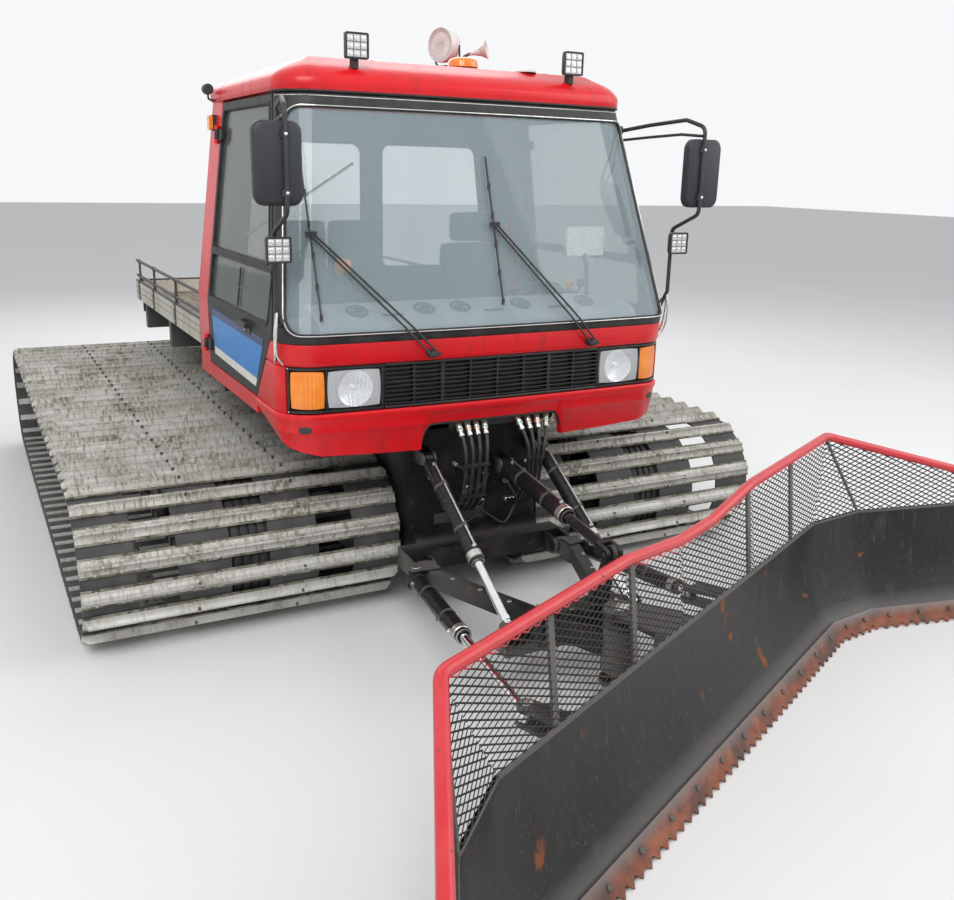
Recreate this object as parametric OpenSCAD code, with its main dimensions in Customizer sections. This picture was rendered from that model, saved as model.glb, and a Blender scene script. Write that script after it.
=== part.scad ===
// Snowcat groomer with a front blade, as separate pieces in one shared frame.
// Millimetres. The machine faces -Y, +X is its left side, the ground is z = 0.

/* [Overall] */
// width over both tracks
over_tracks = 4200; // [4000:10:4400]
// how far the middle of the outline lies to the left of the machine's middle plane
shift_x = 298; // [0:1:500]
// how far the middle of the outline lies behind the tracks' foremost line
shift_y = 638; // [0:1:900]

/* [Tracks] */
// width of one track
track_w = 1660; // [1500:10:1700]
// width of one rubber belt
belt_w = 265; // [200:5:300]
// thickness of a belt
belt_t = 14; // [8:1:20]
// height of a crossbar over its belt
bar_h = 45; // [30:1:60]
// width of a crossbar's foot along the track
bar_foot = 100; // [60:1:120]
// number of crossbars on one track
bar_count = 66; // [50:1:80]
// front wheel's centre, behind the foremost line
idler_y = 425; // [400:1:450]
// radius over the crossbars at the front wheel
idler_r = 418; // [380:1:440]
// rear sprocket's centre, along the machine
drive_y = 4350; // [4200:10:4500]
// rear sprocket's height
drive_z = 450; // [420:1:500]
// radius over the crossbars at the sprocket
drive_r = 425; // [400:1:440]
// where the ground run ends and rises to the sprocket
ground_end = 3600; // [3400:10:3800]

/* [Wheels] */
// radius of a tyre
tyre_r = 357; // [300:1:357]
// width of a tyre
tyre_w = 300; // [220:5:320]
// radius of a rim
rim_r = 215; // [180:1:240]
// radius of an axle tube
axle_r = 55; // [40:1:70]

/* [Chassis] */
// width of the hull between the tracks
hull_w = 800; // [700:10:860]
// bottom of the hull
hull_low = 330; // [300:5:380]
// top of the hull
hull_top = 1050; // [1000:5:1080]
// rear end of the hull
hull_rear = 4450; // [4300:10:4500]
// wall of the hull
hull_wall = 12; // [8:1:20]
// height of the lift frame's pivots
pivot_z = 361; // [330:1:400]
// how far the pivots lie ahead of the foremost line
pivot_y = -248; // [-300:1:-200]

/* [Cab] */
// half width of the cab at the belt line
cab_hw = 1145; // [1080:1:1180]
// half width of the cab under the roof
top_hw = 997; // [940:1:1060]
// underside of the cab
cab_low = 1165; // [1150:1:1200]
// height of the belt line, where the sides start to lean
belt_z = 1640; // [1600:1:1700]
// height of the roof's lower edge
roof_z = 2755; // [2700:1:2800]
// rear face of the cab
cab_rear = 1540; // [1450:5:1600]
// front of the windscreen at the belt line
nose_y = -228; // [-260:1:-200]
// how far the windscreen leans back for each millimetre of height
screen_lean = 0.3266; // [0.2:0.01:0.4]
// radius of the cab's front corners
corner_r = 190; // [120:1:240]
// how far the front bulges in the middle
bulge = 25; // [0:1:60]
// depth of the side panels
side_t = 45; // [30:1:60]
// highest part of the roof
roof_top = 2925; // [2880:5:2960]

/* [Doors] */
// rear edge of a door
door_rear = 1295; // [1200:5:1320]
// bottom of a door
door_low = 1256; // [1240:1:1300]
// width of the door frame round its glass
door_rim = 48; // [30:1:70]
// low edge of the lower pane
pane_low = 1660; // [1640:1:1700]
// top of the lower pane
pane_mid = 1900; // [1880:1:1940]

/* [Platform] */
// half width of the platform
deck_hw = 1102; // [1000:1:1150]
// front edge of the platform
deck_front = 1640; // [1600:10:1700]
// rear edge of the platform
deck_rear = 4150; // [4000:10:4300]
// underside of the platform
deck_z = 1290; // [1250:5:1320]
// top of the side boards
board_top = 1450; // [1400:5:1480]
// height of the upper rail tube
rail_z = 1612; // [1560:2:1660]

/* [Lift gear] */
// kingpin of the blade, ahead of the foremost line
king_y = -1406; // [-1450:1:-1350]
// radius of the kingpin
king_r = 40; // [30:1:50]
// distance of the lift cylinders from the middle plane
lift_x = 347; // [320:1:360]
// distance of the angle cylinders' feet from the middle plane
angle_x = 515; // [490:1:540]
// distance of the angle cylinders' eyes from the kingpin
arm_r = 745; // [700:1:800]
// how far the angle cylinders' feet lie ahead of the foremost line
angle_foot_y = -330; // [-360:1:-320]
// place of the pitch cylinder across the machine
pitch_x = 126; // [100:1:150]
// radius of the lift barrels
lift_r = 38; // [30:1:50]
// radius of the pitch barrel
pitch_r = 45; // [36:1:55]
// radius of the angle barrels
angle_r = 40; // [34:1:50]
// length of the angle barrels from their foot
angle_barrel_l = 708; // [700:1:720]

/* [Blade] */
// angle of the blade to the machine
blade_yaw = 25.4; // [0:0.1:30]
// how far the cutting edge lies ahead of the kingpin
edge_f = 610; // [580:1:640]
// how far the board's top lies ahead of the kingpin
lip_f = 366; // [340:1:400]
// height of the board's top
lip_z = 620; // [600:1:660]
// hollow of the board behind its chord
board_sag = 70; // [40:1:90]
// thickness of the board
board_t = 12; // [8:1:20]
// half length of the straight part at the cutting edge
fold_u = 1420; // [1350:5:1500]
// length of the bend between board and wing
fold_len = 300; // [200:5:400]
// length of a wing past its bend
wing_len = 800; // [700:5:1000]
// angle of a wing to the board
wing_a = 38; // [20:1:45]
// height of the guard rail at the folds
guard_z = 1050; // [1000:5:1100]
// how far the guard rail lies ahead of the kingpin
guard_f = 313; // [290:1:340]
// height of the guard rail in its middle dip
dip_z = 992; // [960:1:1050]
// height of the guard rail at the wing tips
guard_tip_z = 785; // [700:5:900]
// radius of the guard rail's tube
guard_r = 24; // [18:1:30]

/* [Hidden] */
$fn = 48;
// clearance between pieces that seat on each other
seat = 0.3;
red = [0.78, 0.05, 0.06];
black = [0.05, 0.05, 0.055];
steel = [0.55, 0.56, 0.58];
chrome_c = [0.85, 0.86, 0.88];
glass_c = [0.62, 0.75, 0.74, 0.35];
rubber_c = [0.06, 0.06, 0.065];
bar_c = [0.62, 0.62, 0.6];
cream = [0.8, 0.78, 0.7];
orange = [0.95, 0.4, 0.05];
grey = [0.35, 0.36, 0.38];

track_in = over_tracks / 2 - track_w;
track_mid = over_tracks / 2 - track_w / 2;
front_r = idler_r - bar_h;
rear_r = drive_r - bar_h;
gap_w = (track_w - 4 * belt_w) / 3;
wheel_z = bar_h + belt_t + tyre_r + seat;
wheel_rows = [[idler_y, idler_r], [1210, wheel_z], [1990, wheel_z], [2770, wheel_z], [3550, wheel_z]];

// everything is drawn in machine coordinates and moved to the outline's middle here
module at() {
  translate([-shift_x, -shift_y, 0]) children();
}

// both sides of the machine
module pair() {
  children();
  mirror([1, 0, 0]) children();
}

module box(lo, hi) {
  translate(lo) cube(hi - lo);
}

// a plate of a side view outline, from x0 to x1
module side_cut(x0, x1) {
  translate([x0, 0, 0]) rotate([90, 0, 90]) linear_extrude(x1 - x0) children();
}

// a plate of a front view outline, from y0 to y1
module front_cut(y0, y1) {
  translate([0, y1, 0]) rotate([90, 0, 0]) linear_extrude(y1 - y0) children();
}

// a round bar between two points
module rod_between(p, q, r) {
  d = q - p;
  l = norm(d);
  translate(p) rotate([0, acos(d[2] / l), atan2(d[1], d[0])]) cylinder(r = r, h = l);
}

// a bent round bar: straight stretches joined by round elbows
module bent_bar(pts, r) {
  n = len(pts) - 1;
  for (i = [0 : n - 1]) rod_between(pts[i], pts[i + 1], r);
  for (i = [1 : n - 1]) translate(pts[i]) sphere(r = r + 0.4);
}

// children are drawn along +Z and laid from p towards q
module along(p, q) {
  d = q - p;
  translate(p) rotate([0, acos(d[2] / norm(d)), atan2(d[1], d[0])]) children();
}

// a closed solid through rings of equally many points
module loft(rings) {
  n = len(rings[0]);
  m = len(rings);
  polyhedron(
    points = [for (r = rings) each r],
    faces = concat(
      [[for (i = [0 : n - 1]) i]],
      [for (j = [0 : m - 2]) for (i = [0 : n - 1])
        [j * n + i, (j + 1) * n + i, (j + 1) * n + (i + 1) % n, j * n + (i + 1) % n]],
      [[for (i = [0 : n - 1]) (m - 1) * n + n - 1 - i]]),
    convexity = 8);
}

// the same with its skew sides split into triangles
module loft3(rings) {
  n = len(rings[0]);
  m = len(rings);
  polyhedron(
    points = [for (r = rings) each r],
    faces = concat(
      [[for (i = [0 : n - 1]) i]],
      [for (j = [0 : m - 2]) for (i = [0 : n - 1]) each [
        [j * n + i, (j + 1) * n + i, (j + 1) * n + (i + 1) % n],
        [j * n + i, (j + 1) * n + (i + 1) % n, j * n + (i + 1) % n]]],
      [[for (i = [0 : n - 1]) (m - 1) * n + n - 1 - i]]),
    convexity = 8);
}

// a round tube bent along points, with n sides
function unit(v) = v / norm(v);
function frame_x(t) = unit(abs(t[2]) > 0.9 ? cross(t, [0, 1, 0]) : cross(t, [0, 0, 1]));
module tube(pts, r, n = 10) {
  m = len(pts);
  dirs = [for (i = [0 : m - 2]) unit(pts[i + 1] - pts[i])];
  rings = [for (i = [0 : m - 1])
    let (a = dirs[max(i - 1, 0)], b = dirs[min(i, m - 2)], t = unit(a + b))
    let (e = frame_x(t), g = cross(t, e), k = 1 / sqrt((1 + a * b) / 2), s = unit(a - b + 0.00001 * e))
    [for (q = [0 : n - 1])
      let (c = r * (cos(q * 360 / n) * e + sin(q * 360 / n) * g))
      pts[i] + c + (k - 1) * (c * s) * s]];
  loft3(rings);
}

// a round tube whose sides run straight from mitre to mitre, with n sides
function mitred_rings(ring, pts, i = 0) = i == len(pts) - 1 ? [ring] :
  let (d = unit(pts[i + 1] - pts[i]), e = i + 2 < len(pts) ? unit(pts[i + 2] - pts[i + 1]) : d, m = d + e)
  concat([ring], mitred_rings([for (p = ring) p + d * (((pts[i + 1] - p) * m) / (d * m))], pts, i + 1));
module mitred_tube(pts, r, n = 16) {
  d = unit(pts[1] - pts[0]);
  e = frame_x(d);
  g = cross(d, e);
  loft(mitred_rings([for (q = [0 : n - 1]) pts[0] + r * (cos(q * 360 / n) * e + sin(q * 360 / n) * g)], pts));
}

/* track path: [point, angle of the outward normal] at a distance along the belt's face */
function nrm(a) = [-sin(a), -cos(a)];
function tan_at(a) = [-cos(a), sin(a)];
front_c = [idler_y, idler_r];
rear_c = [drive_y, drive_z];
top_a = 180 - atan2(drive_z - idler_r, drive_y - idler_y)
  - asin((rear_r - front_r) / norm(rear_c - front_c));
ground_p = [ground_end, bar_h];
rise_a = atan2(drive_z - bar_h, drive_y - ground_end)
  - asin(rear_r / norm(rear_c - ground_p));
low_a = 360 - rise_a;
top_0 = front_c + front_r * nrm(top_a);
top_1 = rear_c + rear_r * nrm(top_a);
low_1 = rear_c + rear_r * nrm(low_a);
len_a = front_r * top_a * PI / 180;
len_b = len_a + norm(top_1 - top_0);
len_c = len_b + rear_r * (low_a - top_a) * PI / 180;
len_d = len_c + norm(ground_p - low_1);
len_e = len_d + ground_end - idler_y;
function track_at(s) =
  s < len_a ? let (a = s * 180 / PI / front_r) [front_c + front_r * nrm(a), a] :
  s < len_b ? [top_0 + (s - len_a) * unit(top_1 - top_0), top_a] :
  s < len_c ? let (a = top_a + (s - len_b) * 180 / PI / rear_r) [rear_c + rear_r * nrm(a), a] :
  s < len_d ? [low_1 + (s - len_c) * unit(ground_p - low_1), low_a] :
  [ground_p + [len_d - s, 0], 360];
bar_shape = [[-bar_foot / 2, 0], [-bar_foot / 2, 12], [-14, 16], [-6, bar_h], [6, bar_h],
  [14, 16], [bar_foot / 2, 12], [bar_foot / 2, 0]];
bar_seat = [[-bar_foot / 2, 0], [bar_foot / 2, 0]];
function along_track(shape, depth) = [for (i = [0 : bar_count - 1])
  let (p = track_at((i + 0.5) * len_e / bar_count))
  for (q = shape) p[0] + q[0] * tan_at(p[1]) + (q[1] - depth) * nrm(p[1])];

module track_loop(shape, out, depth) {
  difference() {
    polygon(along_track(shape, out));
    polygon(along_track(bar_seat, depth));
  }
}

module track(side) {
  x0 = side > 0 ? track_in : -over_tracks / 2;
  color(bar_c) difference() {
    side_cut(x0, x0 + track_w) track_loop(bar_shape, 0, belt_t);
    for (k = [0 : 2]) {
      side_cut(x0 + belt_w + k * (belt_w + gap_w), x0 + (k + 1) * (belt_w + gap_w))
        track_loop(bar_seat, 0, belt_t + 4);
    }
  }
}
module track_right() {
  at() track(-1);
}
module track_left() {
  at() track(1);
}

module wheels() {
  color(rubber_c) at() pair() {
    for (w = wheel_rows) {
      translate([track_mid, w[0], w[1]]) rotate([0, 90, 0]) rotate_extrude()
        polygon([[rim_r, -tyre_w / 2 + 20], [tyre_r - 60, -tyre_w / 2],
          [tyre_r - 12, -tyre_w / 2 + 12], [tyre_r, -tyre_w / 2 + 40],
          [tyre_r, tyre_w / 2 - 40], [tyre_r - 12, tyre_w / 2 - 12],
          [tyre_r - 60, tyre_w / 2], [rim_r, tyre_w / 2 - 20]]);
    }
  }
}

// half section of a dished rim with its hub: radius and place along the axle
rim_out = tyre_w / 2 - 30;
rim_shape = [[0, -60], [70, -60], [70, -20], [150, -20], [rim_r - 19, -30], [rim_r - 11, 8 - rim_out],
  [rim_r - seat, -rim_out], [rim_r - seat, rim_out], [rim_r - 11, rim_out - 8], [rim_r - 17, 60],
  [rim_r - 25, 18], [rim_r - 43, 4], [140, 12], [100, 34], [62, 44], [58, 78], [0, 78]];
sprocket_teeth = 15;
sprocket_r = rear_r - belt_t - 8;
tooth_h = 60;
// corners of one tooth: share of the pitch and how far up the tooth
tooth = [[0, 0], [0.22, 0], [0.36, tooth_h], [0.64, tooth_h], [0.78, 0]];
sprocket_shape = [for (k = [0 : sprocket_teeth - 1]) for (q = tooth)
  let (a = (k + q[0]) * 360 / sprocket_teeth) (sprocket_r - tooth_h + q[1]) * [cos(a), sin(a)]];
module running_gear() {
  color(grey) at() pair() {
    for (w = wheel_rows) {
      translate([0, w[0], w[1]]) rotate([0, 90, 0]) {
        translate([0, 0, hull_w / 2]) cylinder(r = axle_r, h = track_mid - hull_w / 2 - 60);
        translate([0, 0, track_mid]) rotate_extrude() polygon(rim_shape);
      }
    }
    translate([0, drive_y, drive_z]) rotate([0, 90, 0]) {
      translate([0, 0, hull_w / 2]) cylinder(r = axle_r + 20, h = track_w - 100);
      for (k = [0 : 2]) {
        translate([0, 0, track_in + belt_w + gap_w / 2 + k * (belt_w + gap_w) - 30])
          linear_extrude(60) polygon(sprocket_shape);
      }
    }
  }
}

hull_side = [[10, 460], [130, hull_low], [4230, hull_low], [hull_rear, 560],
  [hull_rear, hull_top], [10, hull_top]];
hull_room = [[10 + hull_wall, 465], [135, hull_low + hull_wall], [4225, hull_low + hull_wall],
  [hull_rear - hull_wall, 565], [hull_rear - hull_wall, hull_top + 1], [10 + hull_wall, hull_top + 1]];
lift_foot = [-102, 924];
pitch_foot = [-109, 834];

// an ear on the bulkhead that holds a cylinder's foot at p
module foot_ear(x0, x1, p, r) {
  side_cut(x0, x1) {
    translate(p) circle(r = r);
    polygon([[10, p[1] + r + 10], [p[0], p[1] + r], [p[0], p[1] - r], [10, p[1] - r - 10]]);
  }
}

module chassis() {
  color(black) at() difference() {
    union() {
      side_cut(-hull_w / 2, hull_w / 2) polygon(hull_side);
      box([-488, -150, 306], [488, -32, 420]);
      box([-380, -40, 300], [380, 60, 470]);
      pair() {
        for (x = [372, 468]) {
          side_cut(x, x + 20) {
            translate([pivot_y, pivot_z]) circle(r = 46);
            polygon([[-150, 306], [-150, 416], [pivot_y, pivot_z + 46], [pivot_y, pivot_z - 46]]);
          }
        }
        translate([372, pivot_y, pivot_z]) rotate([0, 90, 0]) cylinder(r = 25, h = 116);
        foot_ear(lift_x - 38, lift_x - 26, lift_foot, 34);
        foot_ear(lift_x + 26, lift_x + 38, lift_foot, 34);
        translate([lift_x - 38, lift_foot[0], lift_foot[1]]) rotate([0, 90, 0])
          cylinder(r = 18, h = 76);
      }
      foot_ear(pitch_x - 44, pitch_x - 30, pitch_foot, 38);
      foot_ear(pitch_x + 30, pitch_x + 44, pitch_foot, 38);
      translate([pitch_x - 44, pitch_foot[0], pitch_foot[1]]) rotate([0, 90, 0])
        cylinder(r = 20, h = 88);
      for (y = [180, 1340]) {
        box([-cab_hw + 85, y, hull_top], [cab_hw - 85, y + 90, cab_low]);
      }
      for (y = [1800, 3000, 4020]) {
        box([-deck_hw + 52, y, hull_top], [deck_hw - 52, y + 80, deck_z]);
      }
      for (x = deck_knuckles) {
        for (e = [x - 17, x + 81]) {
          side_cut(e, e + 16) {
            translate(deck_pin) circle(r = 20);
            polygon([[4095, 1200], [4095, deck_z - 10], deck_pin + [0, 20], deck_pin + [20, 0],
              deck_pin + [0, -20]]);
          }
        }
        side_cut(x - 17, x + 97) translate(deck_pin) circle(r = 12);
      }
    }
    side_cut(-hull_w / 2 + hull_wall, hull_w / 2 - hull_wall) polygon(hull_room);
  }
}

module engine_block() {
  floor_z = hull_low + hull_wall;
  color(grey) at() {
    box([-260, 2200, floor_z], [260, 3250, 640]);
    box([-180, 2260, 640], [180, 3150, 940]);
    box([-330, 3420, floor_z], [330, 3560, 980]);
    box([-60, 3250, 560], [60, 3420, 620]);
    box([-250, 2500, 800], [-180, 2560, 860]);
    translate([-290, 2300, 830]) rotate([-90, 0, 0]) cylinder(r = 70, h = 700);
  }
}

module tow_hitch() {
  color(black) at() difference() {
    union() {
      box([-160, hull_rear, 560], [160, hull_rear + 16, 860]);
      for (z = [640, 740]) {
        linear_extrude_at(z, 26) {
          translate([0, hull_rear + 190]) circle(r = 55);
          polygon([[-90, hull_rear + 16], [90, hull_rear + 16], [55, hull_rear + 190],
            [-55, hull_rear + 190]]);
        }
      }
    }
    translate([0, hull_rear + 190, 600]) cylinder(r = 16.5, h = 240);
  }
}

// a flat plate of a plan outline with its underside at z
module linear_extrude_at(z, h) {
  translate([0, 0, z]) linear_extrude(h) children();
}

/* cab surface: half width, front line and a point on the skin at height z and depth d */
function half_w(z) = z <= belt_z ? cab_hw :
  cab_hw - (cab_hw - top_hw) * (z - belt_z) / (roof_z - belt_z);
function front_y(z) = z >= belt_z ? nose_y + screen_lean * (z - belt_z) :
  z >= 1479 ? -205 + (nose_y + 205) * (z - 1479) / (belt_z - 1479) : -205;
sill_y = 285;
door_edge = [[cab_low, sill_y], [1251, sill_y], [1632, -36]];
function skin_pt(c, z, d) =
  c[0] == 0 ? [c[2] * (half_w(z) - d), c[1], z] :
  c[0] == 1 ? [c[2] * (half_w(z) - corner_r + (corner_r - d) * cos(c[1])),
    front_y(z) + corner_r - (corner_r - d) * sin(c[1]), z] :
  c[0] == 2 ? [c[1] * (half_w(z) - corner_r), front_y(z) - bulge * (1 - c[1] * c[1]) + d, z] :
  [c[2] * (half_w(z) - d), lookup(z, door_edge), z];

// a skin of the cab: columns cs, rows zs, mask[row][column] tells which cells are filled
module skin(cs, zs, mask, d0, d1) {
  nc = len(cs);
  nz = len(zs);
  w = nc * nz;
  function on(j, i) = j >= 0 && j < nz - 1 && i >= 0 && i < nc - 1 && mask[j][i] == 1;
  polyhedron(
    points = concat(
      [for (z = zs) for (c = cs) skin_pt(c, z, d0)],
      [for (z = zs) for (c = cs) skin_pt(c, z, d1)]),
    faces = [for (j = [0 : nz - 2]) for (i = [0 : nc - 2]) if (on(j, i))
      let (a = j * nc + i, b = a + 1, c = a + nc + 1, d = a + nc)
      each concat(
        [[a, d, c], [a, c, b], [w + a, w + c, w + d], [w + a, w + b, w + c]],
        on(j - 1, i) ? [] : [[a, b, w + b], [a, w + b, w + a]],
        on(j + 1, i) ? [] : [[d, w + d, w + c], [d, w + c, c]],
        on(j, i - 1) ? [] : [[a, w + a, w + d], [a, w + d, d]],
        on(j, i + 1) ? [] : [[b, c, w + c], [b, w + c, w + b]])],
    convexity = 10);
}

// a section of depths and heights carried along columns of the cab's skin
module skin_sweep(cs, prof) {
  k = len(prof) - 1;
  loft3([for (c = cs) [for (i = [k : -1 : 0]) skin_pt(c, prof[i][1], prof[i][0])]]);
}

right_arc = [for (a = [0, 17, 33, 52, 71, 90]) [1, a, -1]];
left_arc = [for (a = [90, 71, 52, 33, 17, 0]) [1, a, 1]];
front_run = [for (x = [-0.75 : 0.25 : 0.76]) [2, x, 0]];
front_cols = concat(right_arc, front_run, left_arc);
pane_cols = concat([for (i = [2 : 5]) right_arc[i]], front_run, [for (i = [0 : 3]) left_arc[i]]);
n_front = len(front_cols);

strip_z = 1588;
screen_low = 1642;
screen_high = 2677;
module windscreen_frame() {
  cs = concat([[3, 0, -1]], front_cols, [[3, 0, 1]]);
  zs = [strip_z + seat, screen_low, 2160, screen_high, roof_z - seat];
  n = len(cs) - 1;
  low = [for (i = [0 : n - 1]) 1];
  posts = [for (i = [0 : n - 1]) i == 1 || i == 2 || i == n - 2 || i == n - 3 ? 1 : 0];
  top = [for (i = [0 : n - 1]) i > 0 && i < n - 1 ? 1 : 0];
  color(black) at() skin(cs, zs, [low, posts, posts, top], 0, 40);
}

// one rear window, wider by g all round
function rear_pane(g) = [[285 - cab_hw - g, 1760 - g], [-60 + g, 1760 - g], [-60 + g, 2560 + g],
  [237 - top_hw - g, 2560 + g]];
module cab_glass() {
  cs = concat([[1, 33.1, -1]], [for (i = [1 : len(pane_cols) - 2]) pane_cols[i]], [[1, 33.1, 1]]);
  color(glass_c) at() {
    skin(cs, [screen_low + seat, 2160, screen_high - seat],
      [for (j = [0 : 1]) [for (i = [0 : len(cs) - 2]) 1]], 8, 16);
    pair() front_cut(cab_rear - 26, cab_rear - 18) rounded(rear_pane(0), 70);
  }
}

// an outline with its corners rounded by r
module rounded(pts, r) {
  n = len(pts);
  polygon([for (i = [0 : n - 1])
    let (p = pts[i], a = unit(pts[(i + n - 1) % n] - p), b = unit(pts[(i + 1) % n] - p))
    let (h = acos(a * b) / 2, k = r / tan(h), c = p + unit(a + b) * r / sin(h))
    let (s = p + a * k - c, e = p + b * k - c)
    for (q = [0 : 4]) let (v = s * (4 - q) / 4 + e * q / 4) c + unit(v) * r]);
}

panel_t = 32;
module cab_front_panel() {
  cs = concat([[3, 0, -1]], front_cols, [[3, 0, 1]]);
  zs = [1244, 1262, 1479, strip_z];
  n = len(cs) - 1;
  ends = [for (i = [0 : n - 1]) i < 3 || i > n - 4 ? 1 : 0];
  full = [for (i = [0 : n - 1]) 1];
  color(red) at() skin(cs, zs, [ends, ends, full], 0, panel_t);
}

bumper_cols = concat([[0, sill_y - seat, -1]], right_arc, [for (x = [-0.75, -0.5]) [2, x, 0]],
  [[2, -0.44, 0], [2, 0, 0], [2, 0.44, 0]], [for (x = [0.5, 0.75]) [2, x, 0]], left_arc, [[0, sill_y - seat, 1]]);
bumper_low = [cab_low - 4, 1095, 1080, 1062, 1050, 1036, 1022, 1012, 1004, 1002, 1002, 1002, 1004,
  1012, 1022, 1036, 1050, 1062, 1080, 1095, cab_low - 4];
module front_bumper() {
  n = len(bumper_cols);
  half = (n - 1) / 2;
  function sect(i, low) = [
    skin_pt(bumper_cols[i], low, 42), skin_pt(bumper_cols[i], low, 70),
    skin_pt(bumper_cols[i], 1238, 34), skin_pt(bumper_cols[i], 1245, -8),
    skin_pt(bumper_cols[i], 1215, -10), skin_pt(bumper_cols[i], low + 20, 20)];
  color(red) at() {
    loft3([for (i = [0 : half - 1]) sect(i, bumper_low[i])]);
    loft3([for (i = [half - 1 : half + 1]) sect(i, 1140)]);
    loft3([for (i = [half + 1 : n - 1]) sect(i, bumper_low[i])]);
  }
}

grille_cols = [for (x = [-0.66, -0.5, -0.25, 0, 0.25, 0.5, 0.66]) [2, x, 0]];
module grille() {
  root = panel_t + seat;
  slats = [for (k = [0 : 7]) let (z = 1268 + k * 25) each [[root, z], [6, z], [6, z + 11], [root, z + 11]]];
  color(black) at() skin_sweep(grille_cols, concat([[46, 1247], [root, 1247]], slats,
    [[root, 1479 - seat], [46, 1479 - seat]]));
}

lamp_cols = [for (x = [-0.97, -0.85, -0.67]) [2, x, 0]];
flash_cols = concat([for (a = [34, 52, 71, 90]) [1, a, -1]], [[2, -0.98, 0]]);
function flip(cs) = [for (i = [len(cs) - 1 : -1 : 0])
  [cs[i][0], cs[i][0] == 2 ? -cs[i][1] : cs[i][1], -cs[i][2]]];
lamp_box = [[46, 1246], [2, 1246], [2, 1479 - seat], [46, 1479 - seat]];
module headlamps() {
  color([0.8, 0.82, 0.84]) at() {
    skin_sweep(lamp_cols, lamp_box);
    skin_sweep(flip(lamp_cols), lamp_box);
  }
}

module signal_lamps() {
  color(orange) at() {
    skin_sweep(flash_cols, lamp_box);
    skin_sweep(flip(flash_cols), lamp_box);
    pair() {
      box([-half_w(2595) - 35, 1420, 2595], [-half_w(2595) - seat, 1480, 2680]);
      box([-deck_hw + 42, deck_rear - 50, deck_z - 110], [-deck_hw + 242, deck_rear - 10, deck_z - 20]);
    }
    translate([126, 490, roof_top]) cylinder(r = 88, h = 70);
  }
}

// side band of the cab between two depths, for y0 to y1
module side_band(d0, d1, y0, y1, z0, z1) {
  front_cut(y0, y1) polygon([
    [-half_w(z0) + d0, z0], [-cab_hw + d0, belt_z], [-half_w(z1) + d0, z1],
    [-half_w(z1) + d1, z1], [-cab_hw + d1, belt_z], [-half_w(z0) + d1, z0]]);
}

shell_front = door_rear + 7;
module cab_rear_shell() {
  color(red) at() difference() {
    union() {
      pair() {
        side_band(0, side_t, shell_front, cab_rear, cab_low, roof_z - seat);
        at_hinges() {
          cylinder_at(hinge_pin_r, -knuckle_w / 2 - 20, knuckle_w / 2 + 20);
          for (z = [-knuckle_w / 2 - 21, knuckle_w / 2 + 1]) knuckle(z, z + 20, 1);
        }
        box([-cab_hw, sill_y, cab_low], [-cab_hw + side_t, shell_front, door_low - 6]);
      }
      front_cut(cab_rear - 40, cab_rear) polygon([
        [-cab_hw + side_t, cab_low], [-cab_hw + side_t, belt_z], [-top_hw + side_t, roof_z - seat],
        [top_hw - side_t, roof_z - seat], [cab_hw - side_t, belt_z], [cab_hw - side_t, cab_low]]);
    }
    pair() front_cut(cab_rear - 60, cab_rear + 20) rounded(rear_pane(seat), 70);
  }
}

module cab_floor() {
  rear = cab_rear - 40 - seat;
  side = cab_hw - side_t - seat;
  step = cab_hw - 77;
  color(black) at() linear_extrude_at(cab_low, 35) polygon([
    [-side, rear], [-side, sill_y + 10], [-step, sill_y], [-step, 20], [108 - step, -110], [0, -150],
    [step - 108, -110], [step, 20], [step, sill_y], [side, sill_y + 10], [side, rear]]);
}

arc_steps = [0, 15, 30, 45, 60, 75, 90];
function ring(z, zc, d) = concat(
  [[-(half_w(zc) - d), cab_rear - d, z]],
  [for (a = arc_steps) let (p = skin_pt([1, a, -1], zc, d)) [p[0], p[1], z]],
  [for (x = [-0.75 : 0.25 : 0.76]) let (p = skin_pt([2, x, 0], zc, d)) [p[0], p[1], z]],
  [for (i = [6 : -1 : 0]) let (p = skin_pt([1, arc_steps[i], 1], zc, d)) [p[0], p[1], z]],
  [[half_w(zc) - d, cab_rear - d, z]]);

hatch_lo = [-300, 830];
hatch_hi = [150, 1330];
module cab_roof() {
  color(red) at() difference() {
    loft3([ring(roof_z, roof_z, -12), ring(roof_z + 45, roof_z, -14), ring(roof_z + 100, roof_z, 30),
      ring(roof_z + 138, roof_z, 110), ring(roof_top, roof_z, 185)]);
    loft3([ring(roof_z - 5, roof_z, 40), ring(roof_z + 60, roof_z, 60), ring(roof_top - 35, roof_z, 186)]);
    box([hatch_lo[0] + 30, hatch_lo[1] + 30, roof_top - 80], [hatch_hi[0] - 30, hatch_hi[1] - 30, roof_top + 20]);
  }
  color(red) at() for (x = hatch_knuckles) {
    for (e = [x - 13, x + 51]) {
      side_cut(e, e + 12) {
        translate(hatch_pin) circle(r = 10);
        polygon([hatch_pin + [-10, 0], hatch_pin + [10, 0], [hatch_pin[0] + 10, roof_top - 1],
          [hatch_pin[0] - 10, roof_top - 1]]);
      }
    }
    side_cut(x - 13, x + 63) translate(hatch_pin) circle(r = 5);
  }
}

hatch_pin = [hatch_hi[1] + 14, roof_top + 15];
hatch_knuckles = [-210, 40];
module roof_hatch() {
  color(red) at() difference() {
    union() {
      box([hatch_lo[0], hatch_lo[1], roof_top + seat], [hatch_hi[0], hatch_hi[1], roof_top + 26]);
      for (x = hatch_knuckles) {
        side_cut(x, x + 50) {
          translate(hatch_pin) circle(r = 10);
          polygon([hatch_pin + [0, 10], hatch_pin + [-24, 8], hatch_pin + [-24, -6], hatch_pin + [0, -10]]);
        }
      }
    }
    translate([-400, hatch_pin[0], hatch_pin[1]]) rotate([0, 90, 0]) cylinder(r = 5.06, h = 800);
  }
}

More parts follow.
